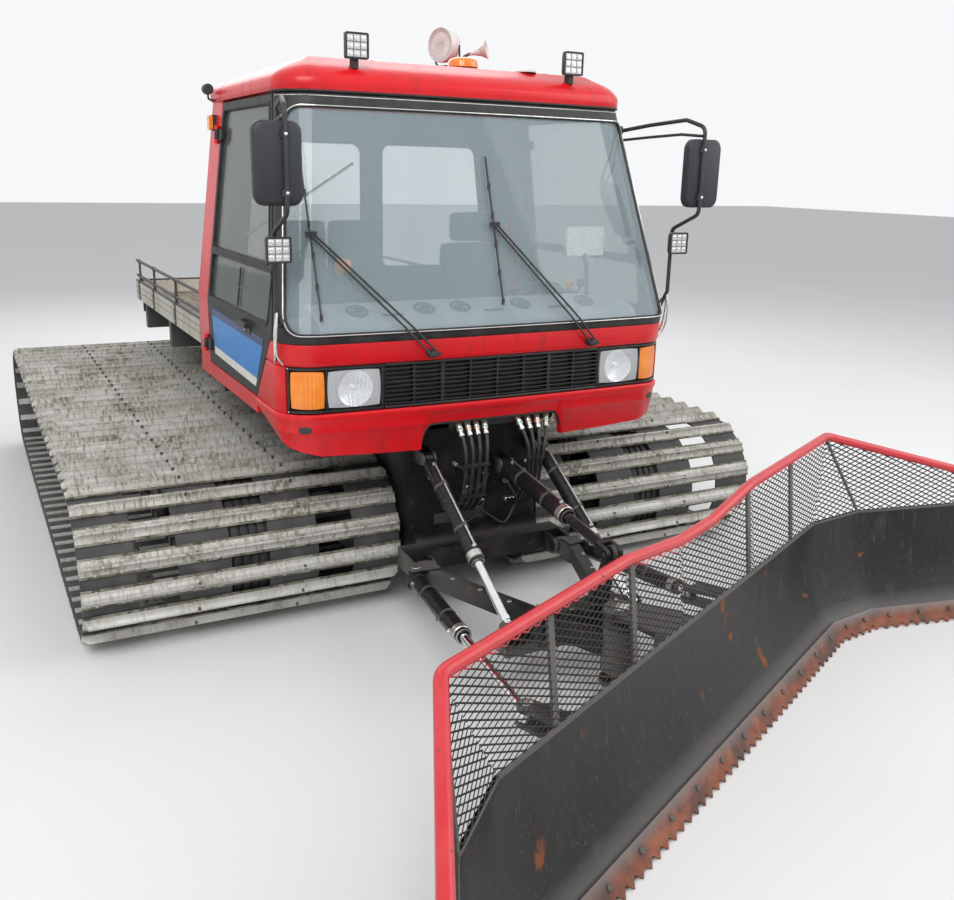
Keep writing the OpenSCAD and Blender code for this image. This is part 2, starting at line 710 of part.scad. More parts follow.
module lamp_square(p, s, t) {
  translate(p) translate([-s / 2, 0, 0]) cube([s, t, s]);
}

// height of the roof's front slope at y, on a line x off the middle plane
function roof_slope(x, y) =
  let (c = x / (top_hw - corner_r), y0 = front_y(roof_z) - bulge * (1 - c * c))
  lookup(y - y0, [[-14, roof_z + 45], [30, roof_z + 100], [110, roof_z + 138], [185, roof_top]]);

module roof_lamps() {
  lamp_z = 2909;
  color(black) at() {
    pair() {
      side_cut(-640, -608) polygon([[165, roof_slope(624, 165) + 1], [215, roof_slope(624, 215) + 1],
        [215, lamp_z + 60], [165, lamp_z + 60]]);
      lamp_square([-624, 140, lamp_z], 122, 60);
      box([-mirror_x - 10, -160, 2015], [-mirror_x + 10, mirror_arm_y - mirror_arm_r - seat, 2045]);
      lamp_square([-mirror_x, -215, 1975], 120, 55);
    }
    translate([284, 980, roof_top]) cylinder(r = 20, h = 110);
    translate([284, 1080, roof_top + 190]) rotate([90, 0, 0]) cylinder(r = 100, h = 120);
  }
}

mirror_arm_y = -138;
mirror_arm_r = 12;
// a foot on the corner facet of the cab's skin, from z0 to z1
module pillar_foot(z0, z1, out) {
  a = skin_pt([1, 17, -1], z0, -seat);
  b = skin_pt([1, 33, -1], z0, -seat);
  p = [for (k = [0.05, 0.95]) [a[0] + k * (b[0] - a[0]), a[1] + k * (b[1] - a[1])]];
  n = [-cos(25), -sin(25)] * out;
  linear_extrude_at(z0, z1 - z0) polygon([p[0], p[1], p[1] + n, p[0] + n]);
}
mirror_x = cab_hw + 5;
mirror_face = [[-mirror_x - 135, 2235], [-mirror_x + 80, 2235], [-mirror_x + 80, 2590], [-mirror_x - 135, 2590]];
module side_mirrors() {
  top = skin_pt([1, 25, -1], 2640, -20);
  low = skin_pt([1, 25, -1], 1690, -20);
  color(black) at() pair() {
    front_cut(-345, -275) rounded(mirror_face, 45);
    pillar_foot(2615, 2665, 36);
    pillar_foot(1665, 1715, 36);
    bent_bar([top, top + [-62, -180, 28], top + [-112, -430, 50], [-mirror_x, -310, 2650],
      [-mirror_x, -310, 2200], [-mirror_x, mirror_arm_y, 2110], [-mirror_x, mirror_arm_y, 1760], low], mirror_arm_r);
  }
}

// the front of the glass line at x and z
function glass_y(x, z) =
  let (e = half_w(z) - corner_r, r = abs(x) - e)
  front_y(z) + (r > 0 ? corner_r - sqrt(corner_r * corner_r - r * r) : -bulge * (1 - x * x / (e * e)));
// one wiper: pivot x, arm's end x and height, blade's x
wiper_table = [[-399, -987, 2096, -956], [557, 0, 2137, 21]];
module wipers() {
  pivot_z = 1520;
  knee_z = screen_low + 20;
  color(black) at() for (w = wiper_table) {
    foot_y = glass_y(w[0], pivot_z + 22) - seat;
    k = (knee_z - pivot_z) / (w[2] - pivot_z);
    translate([w[0], foot_y, pivot_z]) rotate([90, 0, 0]) cylinder(r = 22, h = 55);
    for (x = [-18, 28]) {
      knee_x = w[0] + x + k * (w[3] - x / 2 - w[0]);
      tube([[w[0] + x, foot_y - 46, pivot_z], [knee_x, glass_y(knee_x, knee_z) - 34, knee_z],
        [w[3] + x / 2, glass_y(w[3], w[2]) - 20, w[2]]], 7, 6);
    }
    translate([w[3], glass_y(w[3], w[2]) - 18, w[2]]) cube([60, 20, 40], center = true);
    tube([for (z = [-400, 0, 335]) [w[3], glass_y(w[3], w[2] + z) - 4, w[2] + z]], 8, 6);
  }
}

module cab_seats() {
  color([0.12, 0.12, 0.13]) at() {
    box([300, 600, 1200], [700, 1000, 1420]);
    box([260, 560, 1420], [740, 1080, 1540]);
    box([280, 1010, 1540], [720, 1120, 2150]);
    box([-800, 700, 1200], [-120, 1120, 1420]);
    box([-820, 660, 1420], [-100, 1130, 1530]);
    box([-810, 1060, 1530], [-110, 1160, 2100]);
  }
}

wheel_p = [500, 330, 1700];
wheel_tilt = [-30, 0, 0];
module dashboard() {
  color(grey) at() {
    difference() {
      union() {
        side_cut(165 - cab_hw, cab_hw - 165) polygon([[-100, 1200], [60, 1200], [110, 1420], [90, 1560], [-150, 1600],
          [-150, 1240]]);
        translate(wheel_p) rotate(wheel_tilt) translate([0, 0, -420]) cylinder(r = 30, h = 380);
      }
      translate(wheel_p) rotate(wheel_tilt) translate([0, 0, -260]) cylinder(r = 12.06, h = 260);
    }
    box([cab_hw - 385, 300, 1200], [cab_hw - 165, 1000, 1600]);
  }
}

module steering_wheel() {
  color(black) at() translate(wheel_p) rotate(wheel_tilt) {
    rotate_extrude() translate([190, 0]) circle(r = 14, $fn = 16);
    cylinder(r = 40, h = 30, center = true);
    for (a = [0, 120, 240]) {
      rotate([0, 0, a]) box([30, -12, -5], [184, 12, 5]);
    }
    translate([0, 0, -240]) cylinder(r = 12, h = 240);
  }
}

// couplings under the bumper's cut-out: first x, pitch, hose's first x and pitch below
hose_table = [[-195, 52, -185, 40], [165, 62, 203, 26]];
coupler_r = 17;
module hydraulic_hoses() {
  color(black) at() {
    box([-240, -145, 1085], [400, -122, cab_low]);
    for (g = hose_table) {
      for (k = [0 : 3]) {
        x = g[0] + k * g[1];
        u = g[2] + k * g[3];
        translate([x, -191, 1122]) rotate([-90, 0, 0]) cylinder(r = coupler_r, h = 50);
        tube([[x, -140, 1122], [x, -205, 1120], [(x + u) / 2, -232, 1050], [u, -236, 900],
          [u, -205, 720], [u, -110, 610], [u, 7.5, 590]], 11, 8);
      }
    }
  }
}

deck_pin = [deck_rear - 20, deck_z - 28];
deck_knuckles = [-470, 390];
module platform() {
  color(cream) at() difference() {
    union() {
      box([-deck_hw, deck_front, deck_z], [deck_hw, deck_rear, deck_z + 40]);
      pair() box([-deck_hw, deck_front, deck_z + 40], [-deck_hw + 30, deck_rear, board_top]);
      box([-deck_hw + 30, deck_rear - 30, deck_z + 40], [deck_hw - 30, deck_rear, board_top]);
      for (x = deck_knuckles) {
        side_cut(x, x + 80) {
          translate(deck_pin) circle(r = 22);
          polygon([deck_pin + [-22, 0], deck_pin + [-26, 28], deck_pin + [20, 28], deck_pin + [22, 0]]);
        }
      }
    }
    translate([-600, deck_pin[0], deck_pin[1]]) rotate([0, 90, 0]) cylinder(r = 12.06, h = 1200);
  }
}

rail_x = deck_hw - 15;
rail_r = 13;
module platform_rail() {
  color(black) at() pair() {
    for (z = [rail_z, board_top + 40]) {
      translate([-rail_x, deck_front + 20, z]) rotate([-90, 0, 0])
        cylinder(r = rail_r, h = deck_rear - deck_front - 60);
    }
    for (y = [1700, 2540, 3360, 4000]) {
      box([-rail_x - 8, y - 8, board_top], [-rail_x + 8, y + 8, rail_z]);
    }
  }
}

/* door hinges: their axis leans with the cab's side */
hinge_x = cab_hw + 20;
hinge_y = door_rear + 8;
hinge_z = [1370, 2570];
hinge_lean = atan((half_w(hinge_z[0]) - half_w(hinge_z[1])) / (hinge_z[1] - hinge_z[0]));
hinge_r = 13;
hinge_pin_r = 7;
knuckle_w = 56;
module at_hinges() {
  for (z = hinge_z) {
    translate([-hinge_x + (z - hinge_z[0]) * tan(hinge_lean), hinge_y, z]) rotate([0, hinge_lean, 0]) children();
  }
}
// a knuckle from z0 to z1 with its strap to the skin on the side given by dir
module knuckle(z0, z1, dir) {
  cylinder_at(hinge_r, z0, z1);
  linear_extrude_at(z0, z1 - z0) {
    polygon([[5, 0], [5, dir * 90], [28, dir * 88], [28, dir * 24], [hinge_r, dir * 20], [hinge_r, 0]]);
  }
}

/* doors: an outline in the side view, and the pieces cut from the side band with it */
function screen_edge(z) = front_y(z) + corner_r + 8;
door_outline = [[door_rear, door_low], [sill_y + 5, door_low], [screen_edge(1640), 1640],
  [screen_edge(roof_z - 14), roof_z - 14], [door_rear, roof_z - 14]];
low_pane = [[door_rear - door_rim, pane_low], [60, pane_low], [60, pane_mid], [door_rear - door_rim, pane_mid]];
top_pane = [[door_rear - door_rim, pane_mid + 45], [screen_edge(pane_mid + 45) + door_rim, pane_mid + 45],
  [screen_edge(roof_z - 60) + door_rim, roof_z - 60], [door_rear - door_rim, roof_z - 60]];

// bow handle: its two feet and its height
handle_y = [330, 470];
handle_z = 1600;
module door() {
  color(black) difference() {
    union() {
      difference() {
        intersection() {
          side_band(0, side_t, -100, door_rear + 5, door_low, roof_z - 14);
          side_cut(-cab_hw - 50, -700) polygon(door_outline);
        }
        side_cut(-cab_hw - 50, -700) {
          rounded(low_pane, 30);
          rounded(top_pane, 30);
        }
      }
      at_hinges() knuckle(-knuckle_w / 2, knuckle_w / 2, -1);
      for (y = handle_y) box([-cab_hw - 30, y, handle_z], [-cab_hw + 4, y + 18, handle_z + 26]);
      box([-cab_hw - 36, handle_y[0], handle_z], [-cab_hw - 24, handle_y[1] + 18, handle_z + 26]);
    }
    at_hinges() cylinder_at(hinge_pin_r + 0.06, -60, 60);
  }
}

module door_panes() {
  color(glass_c) intersection() {
    side_band(14, 20, -100, door_rear + 5, door_low, roof_z - 14);
    side_cut(-cab_hw - 50, -700) {
      rounded(low_pane, 30);
      rounded(top_pane, 30);
    }
  }
}

module door_right() {
  at() door();
}
module door_right_glass() {
  at() door_panes();
}
module door_left() {
  at() mirror([1, 0, 0]) door();
}
module door_left_glass() {
  at() mirror([1, 0, 0]) door_panes();
}

/* lift gear */
lift_eye = [-1029, 343];
pitch_eye = [-1141, 685];
eye_pin_r = 14;

// the plates over and under an arm that hold an angle cylinder's foot pin
module foot_bracket() {
  for (z = [pivot_z - 58 - seat, pivot_z + 44 + seat]) {
    linear_extrude_at(z, 14) {
      translate([angle_x, angle_foot_y]) circle(r = 42);
      polygon([[400, angle_foot_y - 60], [angle_x, angle_foot_y - 42], [angle_x, angle_foot_y + 42],
        [400, angle_foot_y + 42]]);
    }
  }
  translate([angle_x, angle_foot_y, pivot_z - 58]) cylinder(r = 20, h = 116);
}
module lift_frame() {
  color(black) at() {
    pair() foot_bracket();
    difference() {
      union() {
        pair() {
          translate([430, pivot_y, pivot_z]) rotate([0, 90, 0]) translate([0, 0, -32])
            cylinder(r = 44, h = 64);
          linear_extrude_at(pivot_z - 44, 88)
            polygon([[398, pivot_y], [462, pivot_y], [462, -400], [90, king_y + 20], [20, king_y + 20],
              [398, -400]]);
          for (x = [lift_x - 38, lift_x + 26]) {
            side_cut(x, x + 12) {
              translate(lift_eye) circle(r = 40);
              polygon([[lift_eye[0] - 40, lift_eye[1]], [lift_eye[0] + 40, lift_eye[1]], [-960, 240], [-1090, 240]]);
            }
          }
          side_cut(lift_x - 38, lift_x + 38) translate(lift_eye) circle(r = eye_pin_r);
        }
        box([-400, -1090, 230], [400, -960, 285]);
        box([-240, -1120, 285], [240, -1000, 420]);
        side_cut(pitch_x - 12, pitch_x + 12) {
          translate(pitch_eye) circle(r = 40);
          polygon([[pitch_eye[0] - 40, pitch_eye[1]], [pitch_eye[0] + 40, pitch_eye[1]], [-1000, 420], [-1120, 420]]);
        }
        side_cut(pitch_x - 46, pitch_x + 46) translate(pitch_eye) circle(r = eye_pin_r);
        translate([0, king_y, 245]) cylinder(r = 78, h = 230);
      }
      translate([0, king_y, 200]) cylinder(r = king_r + 0.06, h = 300);
      pair() {
        translate([398, pivot_y, pivot_z]) rotate([0, 90, 0]) translate([0, 0, -10]) cylinder(r = 25.06, h = 90);
      }
    }
  }
}

// a barrel along +Z from its foot eye, the eye's pin lying along the given turn
module barrel(r, bore, rod, length, eye_r, pin_r, eye_w, turn, start, cap) {
  difference() {
    union() {
      cylinder(r = min(r, eye_w / 2 - 1), h = start + 4);
      translate([0, 0, start]) cylinder(r = r, h = length - start);
      rotate(turn) translate([0, 0, -eye_w / 2]) cylinder(r = eye_r, h = eye_w);
    }
    translate([0, 0, start + 4]) cylinder(r = bore, h = length - cap - start - 4);
    translate([0, 0, start + 4]) cylinder(r = rod + seat, h = length);
    rotate(turn) translate([0, 0, -eye_w]) cylinder(r = pin_r, h = 2 * eye_w);
  }
}

module ram(r, start, length, eye_r, pin_r, eye_w, turn, bore, piston) {
  difference() {
    union() {
      translate([0, 0, start]) cylinder(r = r, h = length - start - eye_r + 4);
      translate([0, 0, start]) cylinder(r = bore - seat, h = piston);
      translate([0, 0, length]) rotate(turn) translate([0, 0, -eye_w / 2]) cylinder(r = eye_r, h = eye_w);
    }
    translate([0, 0, length]) rotate(turn) translate([0, 0, -eye_w]) cylinder(r = pin_r, h = 2 * eye_w);
  }
}

lift_a = [lift_x, lift_foot[0], lift_foot[1]];
lift_b = [lift_x, lift_eye[0], lift_eye[1]];
module lift_cylinder_barrels() {
  color(black) at() pair() along(lift_a, lift_b)
    barrel(lift_r, 29, 22, 700, 34, 18.06, 40, [90, 0, 0], 42, 25);
}
module lift_cylinder_rods() {
  color(chrome_c) at() pair() along(lift_a, lift_b)
    ram(22, 440, norm(lift_b - lift_a), 34, 20, 40, [90, 0, 0], 29, 30);
}
pitch_a = [pitch_x, pitch_foot[0], pitch_foot[1]];
pitch_b = [pitch_x, pitch_eye[0], pitch_eye[1]];
module pitch_cylinder_barrel() {
  color(black) at() along(pitch_a, pitch_b)
    barrel(pitch_r, 36, 26, 660, 38, 20.06, 48, [90, 0, 0], 46, 25);
}
module pitch_cylinder_rod() {
  l = norm(pitch_b - pitch_a);
  color(chrome_c) at() along(pitch_a, pitch_b) {
    translate([0, 0, 420]) cylinder(r = 26, h = l - 420 - 70);
    translate([0, 0, 420]) cylinder(r = 36 - seat, h = 30);
    difference() {
      union() {
        translate([-30, -46, l - 82]) cube([60, 92, 24]);
        for (y = [-46, 26]) {
          translate([-30, y, l - 60]) cube([60, 20, 62]);
          translate([0, y, l]) rotate([-90, 0, 0]) cylinder(r = 30, h = 20);
        }
      }
      translate([0, -60, l]) rotate([-90, 0, 0]) cylinder(r = 20, h = 120);
    }
  }
}

king = [0, king_y, 0];
side_dir = [cos(blade_yaw), sin(blade_yaw), 0];
foot_right = [-angle_x, angle_foot_y, pivot_z];
foot_left = [angle_x, angle_foot_y, pivot_z];
eye_right = king + [0, 0, pivot_z] - arm_r * side_dir;
eye_left = king + [0, 0, pivot_z] + arm_r * side_dir;
module angle_barrel(p, q) {
  color(black) at() along(p, q) barrel(angle_r, 30, 22, angle_barrel_l, 38, 20.06, 76, [0, 90, 0], 38, 16);
}
// the piston keeps inside the bore from the left rod's rest to the right rod's
angle_rod_l = angle_barrel_l + 22;
module angle_ram(p, q) {
  l = norm(q - p);
  color(chrome_c) at() along(p, q) ram(22, l - angle_rod_l, l, 38, 18, 36, [0, 90, 0], 30, 14);
}
module angle_barrel_right() {
  angle_barrel(foot_right, eye_right);
}
module angle_barrel_left() {
  angle_barrel(foot_left, eye_left);
}
module angle_rod_right() {
  angle_ram(foot_right, eye_right);
}
module angle_rod_left() {
  angle_ram(foot_left, eye_left);
}

/* blade: drawn about the kingpin with u to the side and -Y ahead, then turned to its angle */
module blade_place() {
  at() translate(king) rotate([0, 0, blade_yaw]) children();
}

function fwd(a) = [-sin(a), cos(a)];
function mitre(a, b) = (fwd(a) + fwd(b)) / (1 + cos(a - b));
bend_1 = [fold_u, edge_f];
bend_2 = bend_1 + fold_len * [cos(wing_a / 2), sin(wing_a / 2)];
bend_3 = bend_2 + wing_len * [cos(wing_a), sin(wing_a)];
// plan points of the blade at a distance f ahead of the kingpin, from the middle to the tip
function plan(f) = let (o = f - edge_f) [bend_1 + o * mitre(0, wing_a / 2),
  bend_2 + o * mitre(wing_a / 2, wing_a), bend_3 + o * fwd(wing_a)];
function stations(f) = let (p = plan(f)) [for (s = [[-1, 2], [-1, 1], [-1, 0], [1, 0], [1, 1], [1, 2]])
  [s[0] * p[s[1]][0], -p[s[1]][1]]];

chord = [lip_f - edge_f, lip_z];
chord_n = unit([-lip_z, lip_f - edge_f]);
board_front = [for (k = [0 : 6]) let (t = k / 6)
  [edge_f, 0] + t * chord + board_sag * 4 * t * (1 - t) * chord_n];
// rings of a section of [ahead, height] points at every station
function blade_rings(sect) = [for (j = [0 : 5]) [for (p = sect)
  let (s = stations(p[0])[j]) [s[0], s[1], p[1]]]];
board_low = board_front[0] + [-12, 14];
board_back = [for (k = [0 : 6]) k < 6 ? board_front[k] + board_t * chord_n : [lip_f - board_t, lip_z]];

module blade_board() {
  sect = concat([board_low], [for (k = [1 : 6]) board_front[k]], [for (k = [6 : -1 : 1]) board_back[k]],
    [board_low + board_t * chord_n]);
  color(black) blade_place() {
    loft(blade_rings([for (k = [len(sect) - 1 : -1 : 0]) sect[k]]));
    for (u = [-700, -250, 250, 700]) {
      side_cut(u - 8, u + 8) polygon([[-330, 180], [-board_back[2][0], board_back[2][1]],
        [-board_back[3][0], board_back[3][1]], [-board_back[4][0], board_back[4][1]],
        [-board_back[5][0], board_back[5][1]], [-330, board_back[5][1]]]);
    }
  }
}

module cutting_edge() {
  n = unit([board_front[1][1], edge_f - board_front[1][0]]);
  sect = [board_front[0], board_front[0] + 16 * n, board_front[1] + 16 * n, board_front[1]];
  color([0.3, 0.22, 0.16]) blade_place() loft(blade_rings([for (k = [3 : -1 : 0]) sect[k]]));
}

/* the guard leans back from the board's top in one plane over the middle and one over each wing */
function guard_f_at(z) = lip_f - (lip_f - guard_f) * (z - lip_z) / (guard_z - lip_z);
function on_mid(u, z) = [u, -guard_f_at(z), z];
function on_wing(t, z) = let (p = plan(guard_f_at(z))[1])
  [p[0] + t * cos(wing_a), -p[1] - t * sin(wing_a), z];
function corner(z) = let (o = guard_f_at(z), p = plan(o)[1])
  on_wing(-(p[1] - o) / sin(wing_a), z);
post_t = wing_len - 30;
// where the rail starts to dip, and the half width of its dip
shoulder_u = 600;
dip_u = 150;
rail_half = [corner(guard_z), on_mid(shoulder_u, guard_z - 5), on_mid(dip_u, dip_z)];
function left_of(p) = [-p[0], p[1], p[2]];
guard_line = concat(
  [on_wing(post_t, lip_z + 3.4), on_wing(post_t, guard_tip_z)], rail_half,
  [for (i = [2 : -1 : 0]) left_of(rail_half[i])],
  [left_of(on_wing(post_t, guard_tip_z)), left_of(on_wing(post_t, lip_z + 3.4))]);

module blade_guard_rail() {
  color(red) blade_place() mitred_tube(guard_line, guard_r);
}

mesh_t = 4;
post_w = 50;
// height of the rail's middle line over the middle and over a wing, t along the wing from its bend
corner_t = -(plan(guard_f)[1][1] - guard_f) / sin(wing_a);
function mid_rail_z(u) = lookup(abs(u), [[dip_u, dip_z], [shoulder_u, guard_z - 5], [corner(guard_z)[0], guard_z]]);
function wing_rail_z(t) = guard_z + (guard_tip_z - guard_z) * (t - corner_t) / (post_t - corner_t);
// a cross section of the sheet, its face turned by a
function sheet_ring(low, top, a) = let (h = [-sin(a), -cos(a), 0] * mesh_t / 2)
  [low - h, top - h, top + h, low + h];
module blade_guard_mesh() {
  low_z = lip_z + 0.8;
  slope = atan((guard_z - guard_tip_z) / (post_t - corner_t));
  drop = (guard_r + 1.6) / cos(slope);
  edge_t = post_t - guard_r - 2;
  c = corner(guard_z - drop);
  fold = [3, 0, 0];
  half = [
    [on_mid(dip_u, low_z), on_mid(dip_u, dip_z - drop), 0],
    [on_mid(shoulder_u, low_z), on_mid(shoulder_u, guard_z - 5 - drop), 0],
    [on_mid(plan(lip_f)[0][0], low_z), c - fold, wing_a / 4],
    [on_wing(0, low_z), c + fold, 3 * wing_a / 4],
    [on_wing(edge_t, low_z), on_wing(edge_t, wing_rail_z(edge_t) - drop), wing_a]];
  color(black) blade_place() {
    loft3(concat([for (i = [4 : -1 : 0]) sheet_ring(left_of(half[i][0]), left_of(half[i][1]), -half[i][2])],
      [for (r = half) sheet_ring(r[0], r[1], r[2])]));
    for (u = [-1120, -560, 560, 1120]) {
      z = mid_rail_z(abs(u) - post_w / 2) - drop;
      side_cut(u - post_w / 2, u + post_w / 2) polygon([[-lip_f, low_z], [-lip_f + board_t, low_z],
        [-guard_f_at(z) + board_t, z], [-guard_f_at(z), z]]);
    }
  }
}

yoke_eye_r = 42;
module blade_yoke() {
  color(black) blade_place() {
    box([-830, -330, 300], [830, -230, 430]);
    box([-130, -330, 175], [130, -230, 545]);
    for (z = [175, 520]) {
      linear_extrude_at(z, 25) {
        circle(r = 80);
        polygon([[-80, 0], [80, 0], [130, -240], [-130, -240]]);
      }
    }
    cylinder_at(king_r, 190, 530);
    for (u = [-arm_r, arm_r]) {
      for (z = [pivot_z - 45, pivot_z + 30]) {
        linear_extrude_at(z, 15) {
          translate([u, 0]) circle(r = yoke_eye_r);
          polygon([[u - yoke_eye_r, 0], [u + yoke_eye_r, 0], [u + 60, -235], [u - 60, -235]]);
        }
      }
    }
  }
}
module cylinder_at(r, z0, z1) {
  translate([0, 0, z0]) cylinder(r = r, h = z1 - z0);
}

chassis();
engine_block();
cab_floor();
cab_front_panel();
front_bumper();
grille();
headlamps();
signal_lamps();
windscreen_frame();
cab_glass();
cab_rear_shell();
cab_roof();
roof_lamps();
side_mirrors();
wipers();
cab_seats();
dashboard();
hydraulic_hoses();
track_right();
track_left();
wheels();
running_gear();
tow_hitch();
platform();
platform_rail();
door_right();
door_right_glass();
door_left();
door_left_glass();
roof_hatch();
steering_wheel();
lift_frame();
lift_cylinder_barrels();
lift_cylinder_rods();
pitch_cylinder_barrel();
pitch_cylinder_rod();
angle_barrel_right();
angle_barrel_left();
angle_rod_right();
angle_rod_left();
blade_yoke();
blade_board();
cutting_edge();
blade_guard_rail();
blade_guard_mesh();
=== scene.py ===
"""Looks of a snowcat groomer with a front blade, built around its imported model."""

import math
import random

import bmesh
import bpy
from mathutils import Matrix, Vector


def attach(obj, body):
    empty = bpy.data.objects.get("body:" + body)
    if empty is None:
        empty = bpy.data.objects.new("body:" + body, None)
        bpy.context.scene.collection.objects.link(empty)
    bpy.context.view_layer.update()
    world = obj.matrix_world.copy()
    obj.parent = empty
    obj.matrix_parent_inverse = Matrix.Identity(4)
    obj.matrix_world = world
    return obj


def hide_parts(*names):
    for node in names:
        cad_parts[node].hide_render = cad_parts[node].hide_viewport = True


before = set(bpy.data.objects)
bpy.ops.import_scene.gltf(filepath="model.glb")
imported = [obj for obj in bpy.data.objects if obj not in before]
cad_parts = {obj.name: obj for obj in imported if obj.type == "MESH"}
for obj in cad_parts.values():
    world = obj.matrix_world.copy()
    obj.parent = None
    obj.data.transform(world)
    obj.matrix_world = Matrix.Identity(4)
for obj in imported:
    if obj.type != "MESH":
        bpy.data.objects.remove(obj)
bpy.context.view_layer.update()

# Sizes are millimetres in the machine's frame: it faces -Y, +X is its left side, the ground is 0.
MM = 0.001
UP = (0, 0, 1)
AHEAD = (0, -1, 0)
LEFT = (1, 0, 0)
SHIFT = Vector((298.0, 638.0, 0.0))

TRACK_HALF = 2100.0
TRACK_W = 1660.0
TRACK_MID = TRACK_HALF - TRACK_W / 2
TRACK_IN = TRACK_HALF - TRACK_W
BELT_COUNT = 4
BELT_W = 265.0
BELT_T = 14.0
BELT_STEP = 45.0
BELT_GAP = (TRACK_W - BELT_COUNT * BELT_W) / (BELT_COUNT - 1)
BAR_H = 45.0
BAR_COUNT = 66
FRONT_C = Vector((425.0, 418.0))
REAR_C = Vector((4350.0, 450.0))
FRONT_R = 418.0 - BAR_H
REAR_R = 425.0 - BAR_H
GROUND_END = 3600.0
TYRE_W = 300.0
RIM_R = 215.0
WHEEL_Y = (425.0, 1210.0, 1990.0, 2770.0, 3550.0)
WHEEL_Z = (418.0, 416.3, 416.3, 416.3, 416.3)

CAB_HW = 1145.0
TOP_HW = 997.0
BELT_Z = 1640.0
ROOF_Z = 2755.0
ROOF_TOP = 2925.0
CAB_REAR = 1540.0
CAB_LOW = 1165.0
CORNER_R = 190.0
BULGE = 25.0
FRONT_Y = -228.0
SCREEN_LEAN = 0.3266
BAND_Z = 1479
LAMP_LOW = 1247
LAMP_TOP = 1478
STRIP_Z = 1588.0
SILL_Y = 285.0
RUN = CAB_HW - CORNER_R
ARC = CORNER_R * math.pi / 2
SCREEN_Z = (1642.0, 2677.0)
SCREEN_W = RUN + ARC * (90 - 33) / 90

KING_Y = -1406.0
BLADE_YAW = math.radians(25.4)
EDGE_F = 610.0
LIP_F = 366.0
LIP_Z = 620.0
SAG = 70.0
BOARD_T = 12.0
FOLD_U = 1420.0
FOLD_LEN = 300.0
WING_LEN = 800.0
WING_A = math.radians(38)
GUARD_F = 313.0
GUARD_Z = 1050.0
DIP_Z = 992.0
GUARD_TIP_Z = 785.0
GUARD_R = 24.0


def to_row(p):
    """A machine point in millimetres as a row-frame point in metres."""
    return (Vector(p) - SHIFT) * MM


def lerp(a, b, t):
    return a + (b - a) * t


def lookup(x, table):
    """Straight-line interpolation in a rising table of (x, value)."""
    if x <= table[0][0]:
        return table[0][1]
    for (x0, v0), (x1, v1) in zip(table, table[1:]):
        if x <= x1:
            return lerp(v0, v1, (x - x0) / (x1 - x0))
    return table[-1][1]


def spline(points, steps=8):
    """A smooth line through the points."""
    pts = [Vector(p) for p in points]
    ends = [2 * pts[0] - pts[1], *pts, 2 * pts[-1] - pts[-2]]
    line = []
    for a, b, c, d in zip(ends, ends[1:], ends[2:], ends[3:]):
        for k in range(steps):
            t = k / steps
            line.append(0.5 * (2 * b + (c - a) * t + (2 * a - 5 * b + 4 * c - d) * t * t
                               + (3 * b - a - 3 * c + d) * t ** 3))
    line.append(pts[-1])
    return line


def bent(points, radius, steps=6):
    """A straight-sided line with its corners rounded."""
    pts = [Vector(p) for p in points]
    line = [pts[0]]
    for a, b, c in zip(pts, pts[1:], pts[2:]):
        u, v = (a - b).normalized(), (c - b).normalized()
        half = u.angle(v) / 2
        cut = min(radius / math.tan(half), 0.45 * (a - b).length, 0.45 * (c - b).length)
        start, end = b + u * cut, b + v * cut
        for k in range(steps + 1):
            t = k / steps
            line.append((1 - t) ** 2 * start + 2 * t * (1 - t) * b + t * t * end)
    line.append(pts[-1])
    return line


def rounded(points, radius, steps=5):
    """A closed outline with its corners rounded, as 2-D points."""
    pts = [Vector((*p, 0)) for p in points]
    out = []
    for i, b in enumerate(pts):
        a, c = pts[i - 1], pts[(i + 1) % len(pts)]
        u, v = (a - b).normalized(), (c - b).normalized()
        half = u.angle(v) / 2
        cut = min(radius / math.tan(half), 0.49 * (a - b).length, 0.49 * (c - b).length)
        centre = b + (u + v).normalized() * (cut / math.cos(half))
        r = cut * math.tan(half)
        s, e = b + u * cut - centre, b + v * cut - centre
        for k in range(steps + 1):
            out.append((centre + lerp(s, e, k / steps).normalized() * r).to_2d())
    return out


def oblong(x0, y0, x1, y1, radius, steps=5):
    return rounded([(x0, y0), (x1, y0), (x1, y1), (x0, y1)], radius, steps)


BOX_FACES = ((0, 2, 3, 1), (4, 5, 7, 6), (0, 1, 5, 4), (2, 6, 7, 3), (0, 4, 6, 2), (1, 3, 7, 5))
# A point of an outline and a height across its plane, put into x, y and z
PLANES = {"xy": lambda a, b, h: (a, b, h), "xz": lambda a, b, h: (a, h, b),
          "yz": lambda a, b, h: (h, a, b)}


